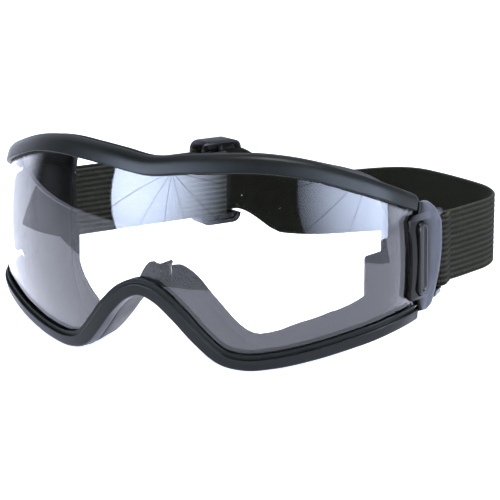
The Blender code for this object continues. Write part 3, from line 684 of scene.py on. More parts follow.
# ---------------------------------------------------------------- lens
def build_lens(material):
    """Clear shield: columns between the rim's upper and lower halves, with its edges eased."""
    loop, count, column = rim_loop()
    top = loop[:count]
    start = count + column - 1
    bottom = loop[start:start + count][::-1]
    rows_across = 36
    half = LENS_THICKNESS / 2
    edge = 0.0003
    rows = []
    for (s0, z0, ns0, nz0, _), (s1, z1, ns1, nz1, _) in zip(top, bottom):
        a = Vector((s0 + ns0 * LENS_BITE, z0 + nz0 * LENS_BITE))
        b = Vector((s1 + ns1 * LENS_BITE, z1 + nz1 * LENS_BITE))
        span = (b - a).length
        shares = [0.0, edge / span] + [j / rows_across for j in range(1, rows_across)]
        shares += [1 - edge / span, 1.0]
        front = []
        back = []
        for t in shares:
            p = a.lerp(b, t)
            inset = edge if t in (shares[0], shares[-1]) else 0.0
            front.append(wrap(p.x, p.y, half - inset))
            back.append(wrap(p.x, p.y, -half + inset))
        rows.append(front + back[::-1])
    item = loft("lens_shield", rows, caps=True)
    shade(item, 50.0)
    dress(item, material, "clear_lens", "goggles", "lens")


# ---------------------------------------------------------------- face skirt
SIDE_TAB_Z = 0.0006
SIDE_TAB_ROUNDING = 0.0016
LIP_SPREAD = 1.013
LIP_HALF_WIDTH_HIGH = 0.0625
LIP_HALF_WIDTH_LOW = 0.0582
SKIRT_WALL = 0.0017
SKIRT_ROOT = 0.0033
NOSE_FLAP_TOP = -0.0020
NOSE_FLAP_HALF_WIDTH = 0.012
SIDE_LIP_START = 0.050
NOSE_SLITS = (-0.0033, 0.0027)
NOSE_SLIT_CENTRE = -0.0014
NOSE_SLIT_HEIGHT = 0.0096
NOSE_SLIT_WIDTH = 0.0009
NOSE_SLIT_REACH = 0.008
NOSE_SLIT_LEAN = math.radians(-4.0)


def shape_lip(lip, z):
    """Squares off the nose flap, and steps the side lips in below the side tabs."""
    if z < 0 and abs(lip.x) < NOSE_FLAP_HALF_WIDTH:
        lip.z = min(lip.z, NOSE_FLAP_TOP + SHIFT_Z)
    if abs(lip.x) > SIDE_LIP_START:
        low = ramp(-(lip.z - SHIFT_Z), -SIDE_TAB_Z, SIDE_TAB_ROUNDING)
        limit = LIP_HALF_WIDTH_HIGH + (LIP_HALF_WIDTH_LOW - LIP_HALF_WIDTH_HIGH) * low
        x = min(abs(lip.x) * LIP_SPREAD, limit)
        lip.x = math.copysign(x, lip.x)
        lip.y = FACE_FRONT_Y + FACE_CURVE * x * x + SHIFT_Y


def face_point(s, z, half_width):
    """Point of the surface that meets the face, with s squeezed into a half width."""
    x = s / (1 + (abs(s) / half_width) ** FACE_SHARPNESS) ** (1 / FACE_SHARPNESS)
    nose = NOSE_FORWARD * math.exp(-(x / NOSE_HALF_WIDTH) ** 2) if z < 0 else 0.0
    return Vector((x, FACE_FRONT_Y + FACE_CURVE * x * x - nose + SHIFT_Y, z + SHIFT_Z))


def build_skirt(material):
    """Wall from the rim to the face and the flange that turns in along it, thickened into a shell."""
    rows = []
    for s, z, ns, nz, _ in rim_loop(stations=110, column=40, corner=10)[0]:
        front = wrap(s + ns * SKIRT_FRONT_RISE, z + nz * SKIRT_FRONT_RISE, -SKIRT_STANDOFF)
        root = wrap(s + ns * SKIRT_FRONT_RISE, z + nz * SKIRT_FRONT_RISE, -SKIRT_ROOT)
        rise = SKIRT_REAR_RISE - SKIRT_BROW_DROP * max(nz, 0.0)
        rear = face_point(s + ns * rise, z + nz * rise, FACE_HALF_WIDTH_OUTER)
        depth = BROW_LIP if nz > 0 else spline(CHEEK_LIP, s)
        lip = face_point(s - ns * depth, z - nz * depth, FACE_HALF_WIDTH_INNER)
        shape_lip(lip, z)
        turn = rear.lerp(lip, 0.16) + (front - rear).normalized() * -0.0004
        middle = front.lerp(rear, 0.5)
        knots = [root, front, middle, front.lerp(rear, 0.86), turn, rear.lerp(lip, 0.55), lip]
        rows.append(even_path(knots, 22))
    item = loft("face_skirt_shell", rows, closed_rows=True, closed_row=False)
    shell = item.modifiers.new("shell", "SOLIDIFY")
    shell.thickness = SKIRT_WALL
    shell.offset = 0.0
    shell.use_even_offset = False
    apply_modifiers(item)
    nose_y = FACE_FRONT_Y - NOSE_FORWARD + SHIFT_Y
    for x in NOSE_SLITS:
        place = Matrix.Translation((x, nose_y, SHIFT_Z + NOSE_SLIT_CENTRE))
        place @= Matrix.Rotation(NOSE_SLIT_LEAN, 4, "Y")
        cut(item, box_tool((NOSE_SLIT_WIDTH, NOSE_SLIT_REACH, NOSE_SLIT_HEIGHT), place))
    bevel(item, 0.0004, 2, 50.0)
    shade(item, 40.0)
    dress(item, material, "skirt_black", "goggles", "face_skirt")


def even_path(knots, count):
    """The knots' smooth curve, read at a fixed number of points spread evenly along it."""
    fine = smooth_path(knots, 0.0004)
    lengths = lengths_along(fine)
    result = []
    index = 0
    for i in range(count):
        target = lengths[-1] * i / (count - 1)
        while index < len(fine) - 2 and lengths[index + 1] < target:
            index += 1
        span = lengths[index + 1] - lengths[index] or 1.0
        share = min(max((target - lengths[index]) / span, 0.0), 1.0)
        result.append(fine[index].lerp(fine[index + 1], share))
    return result


# ---------------------------------------------------------------- side clips
CLIP_END_ROUNDNESS = 0.62


def clip_back(z):
    """Distance s of the clip's back edge at a height: bowed in the middle, drawn in towards each end."""
    for start, end, back in ((CLIP_BACK_HIGH_Z, CLIP_TOP_Z, CLIP_BACK_HIGH),
                             (CLIP_BACK_LOW_Z, CLIP_BOTTOM_Z, CLIP_BACK_LOW)):
        t = (z - start) / (end - start)
        if t > 0:
            near = clip_front(end) + CLIP_FLANGE_WIDTH + CLIP_CORNER
            return near + (HALF + back - near) * max(1 - t, 0.0) ** CLIP_END_ROUNDNESS
    t = (z - CLIP_BACK_LOW_Z) / (CLIP_BACK_HIGH_Z - CLIP_BACK_LOW_Z)
    bow = CLIP_BACK_BOW * math.sin(math.pi * t)
    return HALF + CLIP_BACK_LOW + (CLIP_BACK_HIGH - CLIP_BACK_LOW) * t + bow


def clip_front(z):
    """Distance s of the clip's front edge: forward between the beads, behind the beads' ends beyond them."""
    if CLIP_NECK_BOTTOM_Z <= z <= CLIP_NECK_TOP_Z:
        short = min(z - CLIP_NECK_BOTTOM_Z, CLIP_NECK_TOP_Z - z)
        return HALF - CLIP_START + CLIP_CORNER * max(1 - short / CLIP_CORNER, 0.0) ** 2
    bead_end = RIM_END - BEAD_END_INSET + BEAD_END_LENGTH
    height = rounded_height(TOP_KNOTS, bead_end, -1) if z > 0 else rounded_height(BOTTOM_KNOTS, bead_end, 1)
    return bead_end + (abs(z) - abs(height)) * BEAD_END_SLOPE + CLIP_FRONT_GAP


def clip_rows(side):
    """Plan sections of a clip, closer together near its ends and at the corners of its narrow plate."""
    inner = TEMPLE_FACE_OFFSET + CLIP_GAP
    outer = inner + CLIP_THICKNESS
    count = 84
    levels = [CLIP_BOTTOM_Z + (CLIP_TOP_Z - CLIP_BOTTOM_Z) * (1 - math.cos(math.pi * i / count)) / 2
              for i in range(count + 1)]
    for z, way in ((CLIP_NECK_BOTTOM_Z, 1), (CLIP_NECK_TOP_Z, -1)):
        levels += [z + way * step for step in (-0.00012, 0.00001, 0.0001, 0.0003, 0.0006)]
    rows = []
    for z in sorted(levels):
        back = clip_back(z)
        front = clip_front(z)
        edge = min(z - CLIP_BOTTOM_Z, CLIP_TOP_Z - z)
        rise = CLIP_FLANGE_RISE * min((edge + CLIP_CORNER / 3) / (CLIP_CORNER * 1.4), 1.0)
        ridge = back - CLIP_FLANGE_WIDTH
        corners = ((front, inner, 0.0002), (back, inner, 0.0005), (back, outer, 0.0005),
                   (ridge + 0.0014, outer + rise, 0.0005), (ridge + 0.0006, outer + rise, 0.0005),
                   (ridge, outer, 0.0002), (front + 0.0006, outer, 0.0006),
                   (front, outer - 0.0005, 0.0003))
        rows.append([wrap(side * s, z, u) for s, u in filleted(corners, 5)])
    return rows


def arm_rows(side, sign):
    """Plan sections of the arm between the plate and one end of the strap bar, with softened edges."""
    near = STRAP_CENTRE_Z + sign * (STRAP_WIDTH / 2 + ARM_GAP)
    curve = near * near / (2 * VERTICAL_RADIUS)
    tip = HALF + BAR_S
    middle = BAR_U + curve
    soft = 0.0007
    corners = ((HALF + ARM_START_S, ARM_BASE_U, 0.0001), (HALF + ARM_KNEE_S, ARM_BASE_U, 0.0025),
               (tip, middle + BAR_RADIUS, 0.0012), (tip + BAR_RADIUS * 1.1, middle, 0.0012),
               (tip, middle - BAR_RADIUS, 0.0012),
               (tip - BAR_RADIUS * 1.3, middle - BAR_RADIUS * 0.6, 0.0015),
               (HALF + ARM_KNEE_S, ARM_ROOT_U - 0.0010, 0.0025), (HALF + ARM_START_S, ARM_ROOT_U, 0.0001))
    outline = filleted(corners, 5)
    centre_s = sum(s for s, _ in outline) / len(outline)
    centre_u = sum(u for _, u in outline) / len(outline)
    rows = []
    for share, inset in ((0.0, 0.00025), (0.00025, 0.0), (ARM_HEIGHT - 0.00025, 0.0), (ARM_HEIGHT, 0.00025)):
        z = near + sign * share
        lift = (z * z - near * near) / (2 * VERTICAL_RADIUS)
        rows.append([wrap(side * (s - math.copysign(min(inset, abs(s - centre_s)), s - centre_s)), z,
                          u + lift - math.copysign(min(inset, abs(u - centre_u)), u - centre_u))
                     for s, u in outline])
    return rows


def lug_rows(side, grow, low_u, high_u, crown):
    """Upright oblong with round ends and a crowned top edge."""
    half_width = LUG_WIDTH / 2 + grow
    half_height = LUG_HEIGHT / 2 + grow
    straight = half_height - half_width
    turn = 14
    outline = []
    for way in (1, -1):
        for i in range(turn + 1):
            a = math.pi * i / turn
            outline.append((way * half_width * math.cos(a), way * (straight + half_width * math.sin(a))))
    profile = [(1.0, low_u), (1.0, high_u - crown)]
    profile += [(1 - crown / half_width * (1 - math.cos(a)), high_u - crown + crown * math.sin(a))
                for a in (math.radians(d) for d in (25, 50, 72, 90))] if crown else [(1.0, high_u)]
    if crown:
        profile += [(0.52, high_u), (0.46, high_u - 0.0002), (0.38, high_u - 0.0004),
                    (0.05, high_u - 0.00045)]
    rows = []
    s0 = HALF + LUG_CENTRE_S
    for scale, u in profile:
        row = []
        for x, y in outline:
            over = max(abs(y) - straight, 0.0)
            z = math.copysign(abs(y) - over + over * scale, y)
            row.append(wrap(side * (s0 + x * scale), LUG_CENTRE_Z + z, u))
        rows.append(row)
    return rows


def mark_flange(item):
    """Point attribute flange: 1 on the raised band along the clip's back edge, 0 elsewhere; it masks the
    painted highlight.
    """
    height = TEMPLE_FACE_OFFSET + CLIP_GAP + CLIP_THICKNESS + CLIP_FLANGE_RISE / 2
    marks = []
    for vertex in item.data.vertices:
        z = vertex.co.z - SHIFT_Z
        reach = (vertex.co.y - wrap(HALF, z, height).y) / math.sin(TEMPLE_HEADING)
        inset = clip_back(min(max(z, CLIP_BOTTOM_Z), CLIP_TOP_Z)) - HALF - reach
        marks.append(float(-0.0003 < inset < CLIP_FLANGE_WIDTH + 0.0001))
    item.data.attributes.new("flange", "FLOAT", "POINT").data.foreach_set("value", marks)


def build_clip(side, suffix, hard, lug_material):
    item = loft("side_clip_" + suffix, clip_rows(side), caps=True)
    centre = bar_point(side)
    for sign in (1, -1):
        cut(item, loft("arm", arm_rows(side, sign), caps=True), "UNION")
    bar = bar_tool(BAR_RADIUS, STRAP_WIDTH + 2 * ARM_GAP + ARM_HEIGHT, Matrix.Translation(centre))
    cut(item, bar, "UNION")
    top = TEMPLE_FACE_OFFSET + CLIP_GAP + CLIP_THICKNESS
    past = 0.002
    slot = lug_rows(side, LUG_CLEARANCE, TEMPLE_FACE_OFFSET - past, top + past, 0.0)
    cut(item, loft("slot", slot, caps=True))
    mark_flange(item)
    shade(item, 42.0)
    dress(item, hard, "gloss_black", "goggles", "temple_clip_" + suffix)
    lug = loft("lock_lug_" + suffix,
               lug_rows(side, 0.0, TEMPLE_FACE_OFFSET + CLIP_GAP, top + LUG_PROUD, 0.0007), caps=True)
    shade(lug, 42.0)
    dress(lug, lug_material, "lug_black", "goggles", "rim_lug_" + suffix)


# ---------------------------------------------------------------- headband
RIB_HEIGHT = 0.00032
RIB_POINTS = 6
BEND_LENGTH = 0.016
BAND_STEP = 0.0011
LOOP_OFFSET = BAR_RADIUS + LOOP_CLEARANCE + STRAP_THICKNESS / 2
TAIL_START = SLIDER_RUN - 0.018
STITCH_RADIUS = 0.00017
STITCH_LINES = 14
STITCH_MARGIN = 0.0015


def band_section(both=False):
    """Closed section of the webbing (height, offset, side), ribbed on its outer side, 1, or on both."""
    half = STRAP_WIDTH / 2
    body = STRAP_THICKNESS / 2 - RIB_HEIGHT
    outer = []
    count = RIB_COUNT * RIB_POINTS
    for i in range(count + 1):
        h = -half + STRAP_WIDTH * i / count
        rib = abs(math.sin(math.pi * RIB_COUNT * i / count)) ** 0.75
        edge = min(1.0, (half - abs(h)) / 0.0005)
        outer.append((h, body * edge + RIB_HEIGHT * rib, 1.0))
    if both:
        return outer + [(h, -offset, 1.0) for h, offset, _ in reversed(outer)][1:-1]
    inner = []
    count = RIB_COUNT * 2
    for i in range(count + 1):
        h = half - STRAP_WIDTH * i / count
        edge = min(1.0, (half - abs(h)) / 0.0005)
        inner.append((h, -(STRAP_THICKNESS / 2 - 0.0002) * edge, 0.0))
    return outer + inner[1:-1]


def webbing(name, path, length_start=0.0, flip=False, ends=(True, True), both=False):
    """Ribbed strap along 3-D centreline points; ribs face the left of travel unless flipped."""
    section = band_section(both)
    lengths = lengths_along(path, length_start)
    rows = []
    weave = []
    for i, point in enumerate(path):
        before = path[max(i - 1, 0)]
        after = path[min(i + 1, len(path) - 1)]
        direction = Vector((after.x - before.x, after.y - before.y, 0.0)).normalized()
        normal = Vector((-direction.y, direction.x, 0.0))
        if flip:
            normal = -normal
        rows.append([point + normal * offset + Vector((0.0, 0.0, height)) for height, offset, _ in section])
        weave += [(lengths[i], height, side) for height, _, side in section]
    item = loft(name, rows, caps=all(ends))
    if not all(ends) and any(ends):
        bm = bmesh.new()
        bm.from_mesh(item.data)
        bm.verts.ensure_lookup_table()
        start = 0 if ends[0] else (len(rows) - 1) * len(section)
        bm.faces.new([bm.verts[start + j] for j in range(len(section))])
        bmesh.ops.recalc_face_normals(bm, faces=bm.faces)
        bm.to_mesh(item.data)
        bm.free()
    attribute = item.data.attributes.new("weave", "FLOAT_VECTOR", "POINT")
    attribute.data.foreach_set("vector", [value for row in weave for value in row])
    shade(item, 75.0)
    return item, lengths[-1]


def side_axes(side):
    """Bar centre, direction along the strap away from the bar, and the outer side's normal."""
    if side > 0:
        heading = RIGHT_HEADING + math.pi
        run = Vector((math.cos(heading), math.sin(heading), 0.0))
        out = Vector((run.y, -run.x, 0.0))
    else:
        run = Vector((math.cos(LEFT_HEADING), math.sin(LEFT_HEADING), 0.0))
        out = Vector((-run.y, run.x, 0.0))
    return bar_point(side), run, out


def left_of(heading):
    """Unit vector to the left of a heading in plan."""
    return Vector((-math.sin(heading), math.cos(heading), 0.0))


def band_plan():
    """Outer layer's plan from the right clip bar (side -1) round the back to the left one."""
    centre, run, out = side_axes(-1)
    left_centre, _, _ = side_axes(1)
    start = centre + out * LOOP_OFFSET
    corner = start + run * LEFT_RUN
    middle = corner - out * REAR_CORNER_RADIUS
    rear_start = middle + REAR_CORNER_RADIUS * left_of(REAR_HEADING)
    target = Vector((left_centre.x, left_centre.y, centre.z))
    need = target - rear_start - SIDE_RADIUS * (left_of(RIGHT_HEADING) - left_of(REAR_END_HEADING))
    # The rear arc's radius is the one that brings the last straight run onto the left bar
    arc = left_of(REAR_END_HEADING) - left_of(REAR_HEADING)
    straight = Vector((math.cos(RIGHT_HEADING), math.sin(RIGHT_HEADING), 0.0))
    determinant = arc.x * straight.y - arc.y * straight.x
    rear_radius = (need.x * straight.y - need.y * straight.x) / determinant
    rear_centre = rear_start - rear_radius * left_of(REAR_HEADING)
    side_centre = rear_centre + (rear_radius - SIDE_RADIUS) * left_of(REAR_END_HEADING)
    points = [start + run * LEFT_RUN * i / 60 for i in range(61)]
    arcs = ((middle, REAR_CORNER_RADIUS, LEFT_HEADING, REAR_HEADING, 20),
            (rear_centre, rear_radius, REAR_HEADING, REAR_END_HEADING, 24),
            (side_centre, SIDE_RADIUS, REAR_END_HEADING, RIGHT_HEADING, 40))
    for pivot, radius, first, last, count in arcs:
        for i in range(1, count + 1):
            points.append(pivot + radius * left_of(first + (last - first) * i / count))
    count = 30
    last = points[-1]
    points += [last.lerp(target, i / count) for i in range(1, count + 1)]
    return points


def drop_heights(points):
    """Sag of the outer layer: none along the straight run, most behind the head."""
    lengths = lengths_along(points)
    total = lengths[-1] - LEFT_RUN
    result = []
    for point, length in zip(points, lengths):
        t = max(length - LEFT_RUN, 0.0) / total
        drop = REAR_SAG * ramp(t, 0.0, SAG_PEAK) * (1 - ramp(t, SAG_PEAK, SAG_END - SAG_PEAK))
        result.append(point - Vector((0.0, 0.0, drop)))
    return result, lengths


def split_path(points, lengths, low, high):
    """The stretch of a path between two lengths, with exact ends, evenly resampled."""
    def at(value):
        for i in range(len(lengths) - 1):
            if value <= lengths[i + 1] + 1e-12:
                span = lengths[i + 1] - lengths[i]
                return points[i].lerp(points[i + 1], (value - lengths[i]) / span)
        return points[-1].copy()
    count = max(2, round((high - low) / BAND_STEP))
    return [at(low + (high - low) * i / count) for i in range(count + 1)]


def plan_path(side, knots, spacing):
    """Smooth path through (run, out) pairs measured from a clip bar."""
    centre, run, out = side_axes(side)
    return smooth_path([centre + run * b + out * o for b, o in knots], spacing)


def half_turn(middle_run, middle_out, radius, start):
    """Knots (run, out) of a half circle, anticlockwise from an angle."""
    angles = [start + math.pi * i / 8 for i in range(9)]
    return [(middle_run + radius * math.cos(a), middle_out + radius * math.sin(a)) for a in angles]


def bar_loop(side, before, after):
    """Path round a clip bar: from its outer side, round the front, to its inner side, in (run, out) pairs."""
    return plan_path(side, before + half_turn(0.0, 0.0, LOOP_OFFSET, math.pi / 2) + after, 0.0006)


def stitches(name, side, places, body, material):
    """Rows of stitches across the webbing, each a short capsule, at (run, out) places from a clip bar."""
    centre, run, out = side_axes(side)
    pitch = (STRAP_WIDTH - 2 * STITCH_MARGIN) / STITCH_LINES
    length = pitch * 0.76
    bm = bmesh.new()
    for b, o in places:
        for k in range(STITCH_LINES):
            start = STITCH_MARGIN - STRAP_WIDTH / 2 + pitch * (k + 0.12)
            middle = centre + run * b + out * o + Vector((0.0, 0.0, start + length / 2))
            shape = Matrix.Diagonal((STITCH_RADIUS, STITCH_RADIUS, length / 2, 1.0))
            bmesh.ops.create_uvsphere(bm, u_segments=8, v_segments=6, radius=1.0,
                                      matrix=facing(middle, Vector((0.0, 0.0, 1.0))) @ shape)
    item = item_from(bm, name)
    shade(item, 80.0)
    dress(item, material, "elastic_olive_black", body)


def along_run(side, distance):
    """Point on the strap's run at a distance from a clip bar."""
    centre, run, _ = side_axes(side)
    return centre + run * distance


def build_turn(material):
    """Right clip: the webbing turns round the bar and comes back as the inner layer."""
    reaches = (BEND_LENGTH, 0.012, 0.008, 0.004)
    path = bar_loop(-1, [(b, LOOP_OFFSET) for b in reaches], [(b, -LOOP_OFFSET) for b in reversed(reaches)])
    item, length = webbing("strap_turn_right", path, flip=True, ends=(False, False))
    dress(item, material, "elastic_olive_black", None, "strap_loop_right")
    along_run(-1, 0.002)
    along_run(-1, BEND_LENGTH - 0.001)
    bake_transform(item)
    return length


def build_fold(material):
    """Left clip: the folded end, sewn to the band."""
    before = [(0.0054, 0.00115), (0.0040, 0.00135), (0.0026, 0.00205), (0.0013, 0.00258)]
    after = [(0.0013, -0.00255), (0.0027, -0.0019), (0.0041, -0.00105), (0.0060, -0.00065),
             (0.0090, -0.0004), (0.0125, -0.0001), (BEND_LENGTH, 0.0)]
    item, _ = webbing("strap_fold_left", bar_loop(1, before, after), flip=True, ends=(True, False), both=True)
    dress(item, material, "elastic_olive_black", None, "strap_loop_left")
    along_run(1, 0.006)
    along_run(1, BEND_LENGTH - 0.001)
    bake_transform(item)


def build_outer_layer(material):
    """Outer layer from one clip's turn, round the back, to the other's."""
    points, lengths = drop_heights(band_plan())
    path = split_path(points, lengths, BEND_LENGTH, lengths[-1] - BEND_LENGTH)
    item, _ = webbing("strap_band_outer", path, length_start=BEND_LENGTH, ends=(False, False))
    dress(item, material, "elastic_olive_black", "headstrap", "strap_band")


def build_inner_layer(material, length):
    """Inner layer from the right clip to the slider."""
    knots = [(b, -LOOP_OFFSET) for b in (BEND_LENGTH, 0.030, 0.044, TAIL_START)]
    item, length = webbing("strap_band_inner", plan_path(-1, knots, BAND_STEP), length_start=length,
                           flip=True, ends=(False, False))
    dress(item, material, "elastic_olive_black", None, "strap_return")
    along_run(-1, BEND_LENGTH + 0.002)
    along_run(-1, TAIL_START - 0.001)
    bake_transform(item)
    return length


def build_tail(material, length):
    """Sewn tail round the slider's middle bar."""
    bar = SLIDER_CENTRE_OFFSET
    radius = SLIDER_CENTRE_BAR_RADIUS + LOOP_CLEARANCE + STRAP_THICKNESS / 2
    knots = [(TAIL_START, -LOOP_OFFSET), (TAIL_START + 0.008, -LOOP_OFFSET),
             (SLIDER_RUN - 0.004, bar - radius)]
    knots += half_turn(SLIDER_RUN, bar, radius, -math.pi / 2)
    knots += [(SLIDER_RUN - 0.003, bar + radius * 0.8), (SLIDER_RUN - 0.007, -LOOP_OFFSET + 0.0016),
              (SLIDER_RUN - 0.0165, -LOOP_OFFSET + 0.00155)]
    item, _ = webbing("strap_tail_sewn", plan_path(-1, knots, 0.0007), length_start=length, flip=True,
                      ends=(False, True))
    dress(item, material, "elastic_olive_black", "slider", "slider_loop")


def build_headband(material, thread):
    used = build_turn(material)
    build_fold(material)
    build_outer_layer(material)
    length = build_inner_layer(material, used - BEND_LENGTH)
    build_tail(material, length)
    stitches("stitching_left", 1, [(0.0045, 0.00206)], "goggles", thread)
    face = -(LOOP_OFFSET + STRAP_THICKNESS / 2 + 0.00001)
    places = [(TAIL_START + reach, face) for reach in (0.0028, 0.0085)]
    stitches("stitching_tail", -1, places, "slider", thread)


# ---------------------------------------------------------------- slider
def rounded_plate(length, height, radius, depth, place):
    """Upright plate with rounded corners: length along local X, depth along Y, height along Z."""
    half_length = length / 2
    half_height = height / 2
    corners = [(x * half_length, z * half_height, radius) for x, z in ((1, 1), (-1, 1), (-1, -1), (1, -1))]
    outline = filleted(corners, 8)
    rows = [[place @ Vector((x, y, z)) for x, z in outline] for y in (-depth / 2, depth / 2)]
    return loft("plate", rows, caps=True)


def build_slider(material):
    """Three-bar slider: a plate with a window through it, a band slot behind and a round middle bar."""
    centre, run, out = side_axes(-1)
    middle = centre + run * SLIDER_RUN
    turn = Matrix.Rotation(LEFT_HEADING, 4, "Z")
    height = SLIDER_WINDOW + 2 * SLIDER_END_HEIGHT
    band_face = BAR_RADIUS + LOOP_CLEARANCE + STRAP_THICKNESS
    outer_face = band_face + 0.0004 + SLIDER_BAR_THICKNESS
    depth = outer_face - SLIDER_INNER_FACE
    mid_offset = (outer_face + SLIDER_INNER_FACE) / 2

    def at(offset):
        return Matrix.Translation(middle + out * offset) @ turn

    item = rounded_plate(SLIDER_LENGTH, height, 0.0042, depth, at(mid_offset))
    item.name = "slider_frame"
    window_depth = outer_face - SLIDER_BAR_THICKNESS - SLIDER_INNER_FACE + 0.01
    cut(item, box_tool((SLIDER_LENGTH + 0.01, window_depth, SLIDER_WINDOW),
                       at(outer_face - SLIDER_BAR_THICKNESS - window_depth / 2)))
    hole = SLIDER_LENGTH - 2 * SLIDER_BAR_WIDTH
    cut(item, rounded_plate(hole, SLIDER_WINDOW, 0.0012, depth + 0.02, at(0.0)))
    pocket = 0.0013
    cut(item, rounded_plate(SLIDER_LENGTH - 0.0036, height - 0.0032, 0.0030, 2 * pocket,
                            at(SLIDER_INNER_FACE)))
    cut(item, rounded_plate(SLIDER_LENGTH - 0.0040, height - 0.0036, 0.0030, 0.0006, at(outer_face)))
    bevel(item, 0.00032, 3, 40.0)
    bar_length = SLIDER_WINDOW + SLIDER_END_HEIGHT
    cut(item, bar_tool(SLIDER_CENTRE_BAR_RADIUS, bar_length, at(SLIDER_CENTRE_OFFSET)), "UNION")
    shade(item, 40.0)
    dress(item, material, "gloss_black", "slider", "strap_slider")


# ---------------------------------------------------------------- studio
def stage_object(item, material):
    item.data.materials.append(material)


def reflections_only(item):
    for rays in ("camera", "transmission", "shadow", "diffuse"):
        setattr(item, "visible_" + rays, False)


# Round lights: azimuth and spread in degrees, strength, brightest point in radii
ROUND_LIGHTS = {
    "round_light_left": (-18.0, 27.0, 27.0, (-0.5, 0.0)),
    "round_light_right": (68.0, 31.0, 24.0, (0.3, 0.0)),
}
ROUND_LIGHT_ELEVATION = math.radians(14.0)
ROUND_LIGHT_DISTANCE = 1.0
UMBRELLA_RIBS = 6.0
RIB_HUB = 0.25


def distance_from(tree, place, middle):
    node = add(tree, "ShaderNodeVectorMath", operation="DISTANCE")
    tree.links.new(place, node.inputs[0])
    node.inputs[1].default_value = (*middle, 0.0)
    return node.outputs["Value"]


def smooth_fall(tree, value, start, end):
    return value_range(tree, value, start, end, 1.0, 0.0, "SMOOTHSTEP")


def umbrella(name, radius, strength, glow):
    """Glow that fades from the brightest point, with thin dark ribs from a hub above the middle."""
    material = bpy.data.materials.new(name)
    material.use_nodes = True
    tree = material.node_tree
    tree.nodes.clear()
    output = add(tree, "ShaderNodeOutputMaterial")
    light = add(tree, "ShaderNodeEmission")
    light.inputs["Color"].default_value = (0.66, 0.76, 1.0, 1.0)
    place = object_place(tree)
    edge = smooth_fall(tree, distance_from(tree, place, (0.0, 0.0)), radius * 0.95, radius)
    brightest = (glow[0] * radius, glow[1] * radius)
    fall = smooth_fall(tree, distance_from(tree, place, brightest), 0.1 * radius, 1.5 * radius)
    parts = add(tree, "ShaderNodeSeparateXYZ")
    tree.links.new(place, parts.inputs[0])
    height = math_node(tree, "SUBTRACT", parts.outputs[1], RIB_HUB * radius)
    angle = math_node(tree, "ARCTAN2", parts.outputs[0], height)
    spoke = math_node(tree, "ABSOLUTE", math_node(tree, "SINE", multiply(tree, angle, UMBRELLA_RIBS)))
    off_rib = multiply(tree, spoke, distance_from(tree, place, (0.0, RIB_HUB * radius)))
    bright = multiply(tree, edge, fall, value_range(tree, off_rib, 0.012, 0.03, 0.5, 1.0), strength)
    tree.links.new(bright, light.inputs["Strength"])
    tree.links.new(light.outputs[0], output.inputs["Surface"])
    return material


def round_light(name):
    """Round umbrella light facing the lens, seen only in reflections."""
    azimuth, spread, strength, glow = ROUND_LIGHTS[name]
    a = math.radians(azimuth)
    e = ROUND_LIGHT_ELEVATION
    away = Vector((math.sin(a) * math.cos(e), -math.cos(a) * math.cos(e), math.sin(e)))
    radius = ROUND_LIGHT_DISTANCE * math.tan(math.radians(spread))
    bm = bmesh.new()
    bmesh.ops.create_circle(bm, cap_ends=True, segments=64, radius=radius)
    item = item_from(bm, name)
    target = Vector((0.0, SHIFT_Y + 0.03, SHIFT_Z))
    item.matrix_world = facing(target + away * ROUND_LIGHT_DISTANCE, away)
    stage_object(item, umbrella(name, radius, strength, glow))
    reflections_only(item)


ROOM_DIFFUSE = 0.12
FLOOR_GLOW = 0.06
FLOOR_MIRROR = 1.8
FLOOR_SEEN = 1.2


def seen_directly(tree, rays):
    """1 for a ray straight from the camera or through the clear lens, 0 for one bounced off a surface."""
    unscattered = math_node(tree, "LESS_THAN", rays.outputs["Diffuse Depth"], 0.5)
    unreflected = math_node(tree, "LESS_THAN", rays.outputs["Glossy Depth"], 0.5)
    through = multiply(tree, unscattered, unreflected, rays.outputs["Is Transmission Ray"])
    return math_node(tree, "MAXIMUM", rays.outputs["Is Camera Ray"], through)


def emissive_floor():
    """Pale floor: white to the camera, bright in reflections, faint to scattered light."""
    bm = bmesh.new()
    bmesh.ops.create_grid(bm, x_segments=1, y_segments=1, size=4.0)
    item = item_from(bm, "floor")
    material, tree, shader = new_material("floor_white", (0.9, 0.9, 0.9), 0.9)
    shader.inputs["Emission Color"].default_value = (0.76, 0.80, 1.0, 1.0)
    rays = add(tree, "ShaderNodeLightPath")
    bright = math_node(tree, "MULTIPLY_ADD", seen_directly(tree, rays), FLOOR_SEEN, FLOOR_GLOW)
    bright = math_node(tree, "MULTIPLY_ADD", rays.outputs["Is Glossy Ray"], FLOOR_MIRROR, bright)
    tree.links.new(bright, shader.inputs["Emission Strength"])
    stage_object(item, material)


CARD_NEAR = 0.077
CARD_HALF_WIDTH = 0.275
CARD_WING_REACH = 0.06


def dark_card():
    """Black card on the table in front, seen only in reflections."""
    near = SHIFT_Y - CARD_NEAR
    wing = SHIFT_Y + CARD_WING_REACH
    outline = ((-3.0, -3.5), (3.0, -3.5), (3.0, wing), (CARD_HALF_WIDTH, wing), (CARD_HALF_WIDTH, near),
               (-CARD_HALF_WIDTH, near), (-CARD_HALF_WIDTH, wing), (-3.0, wing))
    item = link_mesh("dark_card", [(x, y, 0.0006) for x, y in outline], [tuple(range(len(outline)))])
    material, _, shader = new_material("card_black", (0.002, 0.002, 0.002), 1.0)
    shader.inputs["Specular IOR Level"].default_value = 0.0
    stage_object(item, material)
    reflections_only(item)


def background(tree, color, strength):
    node = add(tree, "ShaderNodeBackground")
    node.inputs["Color"].default_value = (*color, 1.0)
    if isinstance(strength, float):
        node.inputs["Strength"].default_value = strength
    else:
        tree.links.new(strength, node.inputs["Strength"])
    return node.outputs[0]


def choose_shader(tree, share, first, second):
    node = add(tree, "ShaderNodeMixShader")
    for socket, source in zip(node.inputs, (share, first, second)):
        tree.links.new(source, socket)
    return node.outputs[0]


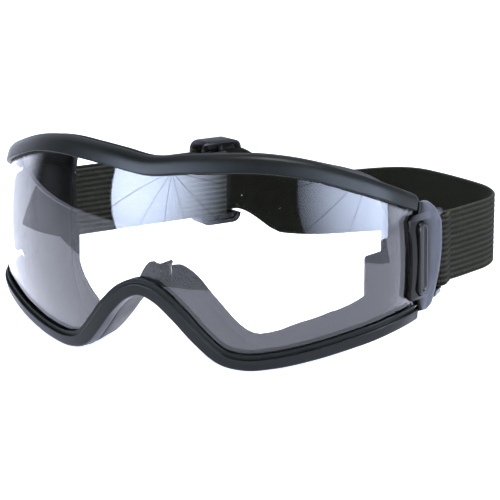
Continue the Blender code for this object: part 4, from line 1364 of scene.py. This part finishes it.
def make_world():
    """White to the camera, dim to scattered light, and to reflections dark in front and bright behind."""
    world = bpy.data.worlds.new("studio")
    bpy.context.scene.world = world
    world.use_nodes = True
    tree = world.node_tree
    tree.nodes.clear()
    parts = add(tree, "ShaderNodeSeparateXYZ")
    tree.links.new(add(tree, "ShaderNodeTexCoord").outputs["Generated"], parts.inputs[0])
    x, y, z = parts.outputs
    rear = value_range(tree, y, -0.03, 0.3, 0.02, 1.2, "SMOOTHSTEP")
    level = smooth_fall(tree, z, 0.10, 0.35)
    side = value_range(tree, math_node(tree, "ABSOLUTE", x), 0.55, 0.8, 0.0, 1.0)
    low_sides = math_node(tree, "MULTIPLY_ADD", multiply(tree, level, side), 2.0, 1.0)
    sides = math_node(tree, "MULTIPLY_ADD", side, 0.65, 0.35)
    room = background(tree, (0.78, 0.83, 1.0), multiply(tree, rear, low_sides, sides))
    dim = background(tree, (0.95, 0.97, 1.0), ROOM_DIFFUSE)
    pale = background(tree, (1.0, 1.0, 1.0), 1.1)
    rays = add(tree, "ShaderNodeLightPath")
    scattered = math_node(tree, "GREATER_THAN", rays.outputs["Diffuse Depth"], 0.5)
    unseen = choose_shader(tree, scattered, room, dim)
    surface = choose_shader(tree, seen_directly(tree, rays), unseen, pale)
    tree.links.new(surface, add(tree, "ShaderNodeOutputWorld").inputs["Surface"])


def area_light(name, place, target, size, power):
    data = bpy.data.lights.new(name, "AREA")
    data.shape = "DISK"
    data.size = size
    data.energy = power
    item = bpy.data.objects.new(name, data)
    item.matrix_world = facing(place, place - target)
    item.visible_camera = False
    bpy.context.scene.collection.objects.link(item)


# ---------------------------------------------------------------- assembly
make_camera()
build_rim(moulded("soft_black"))
build_lens(clear_plastic())
build_skirt(moulded("skirt_black"))
clip_black = paint_flange_highlight(moulded("clip_black"))
lug_black = moulded("lug_black")
build_clip(1, "left", clip_black, lug_black)
build_clip(-1, "right", clip_black, lug_black)
build_headband(elastic(), thread_material())
build_slider(moulded("gloss_black"))

emissive_floor()
dark_card()
make_world()
for light_name in ROUND_LIGHTS:
    round_light(light_name)
area_light("top_light", Vector((0.1, 0.0, 1.3)), Vector((0.0, 0.0, 0.03)), 0.4, 9.0)
bpy.context.scene.view_settings.view_transform = "Standard"
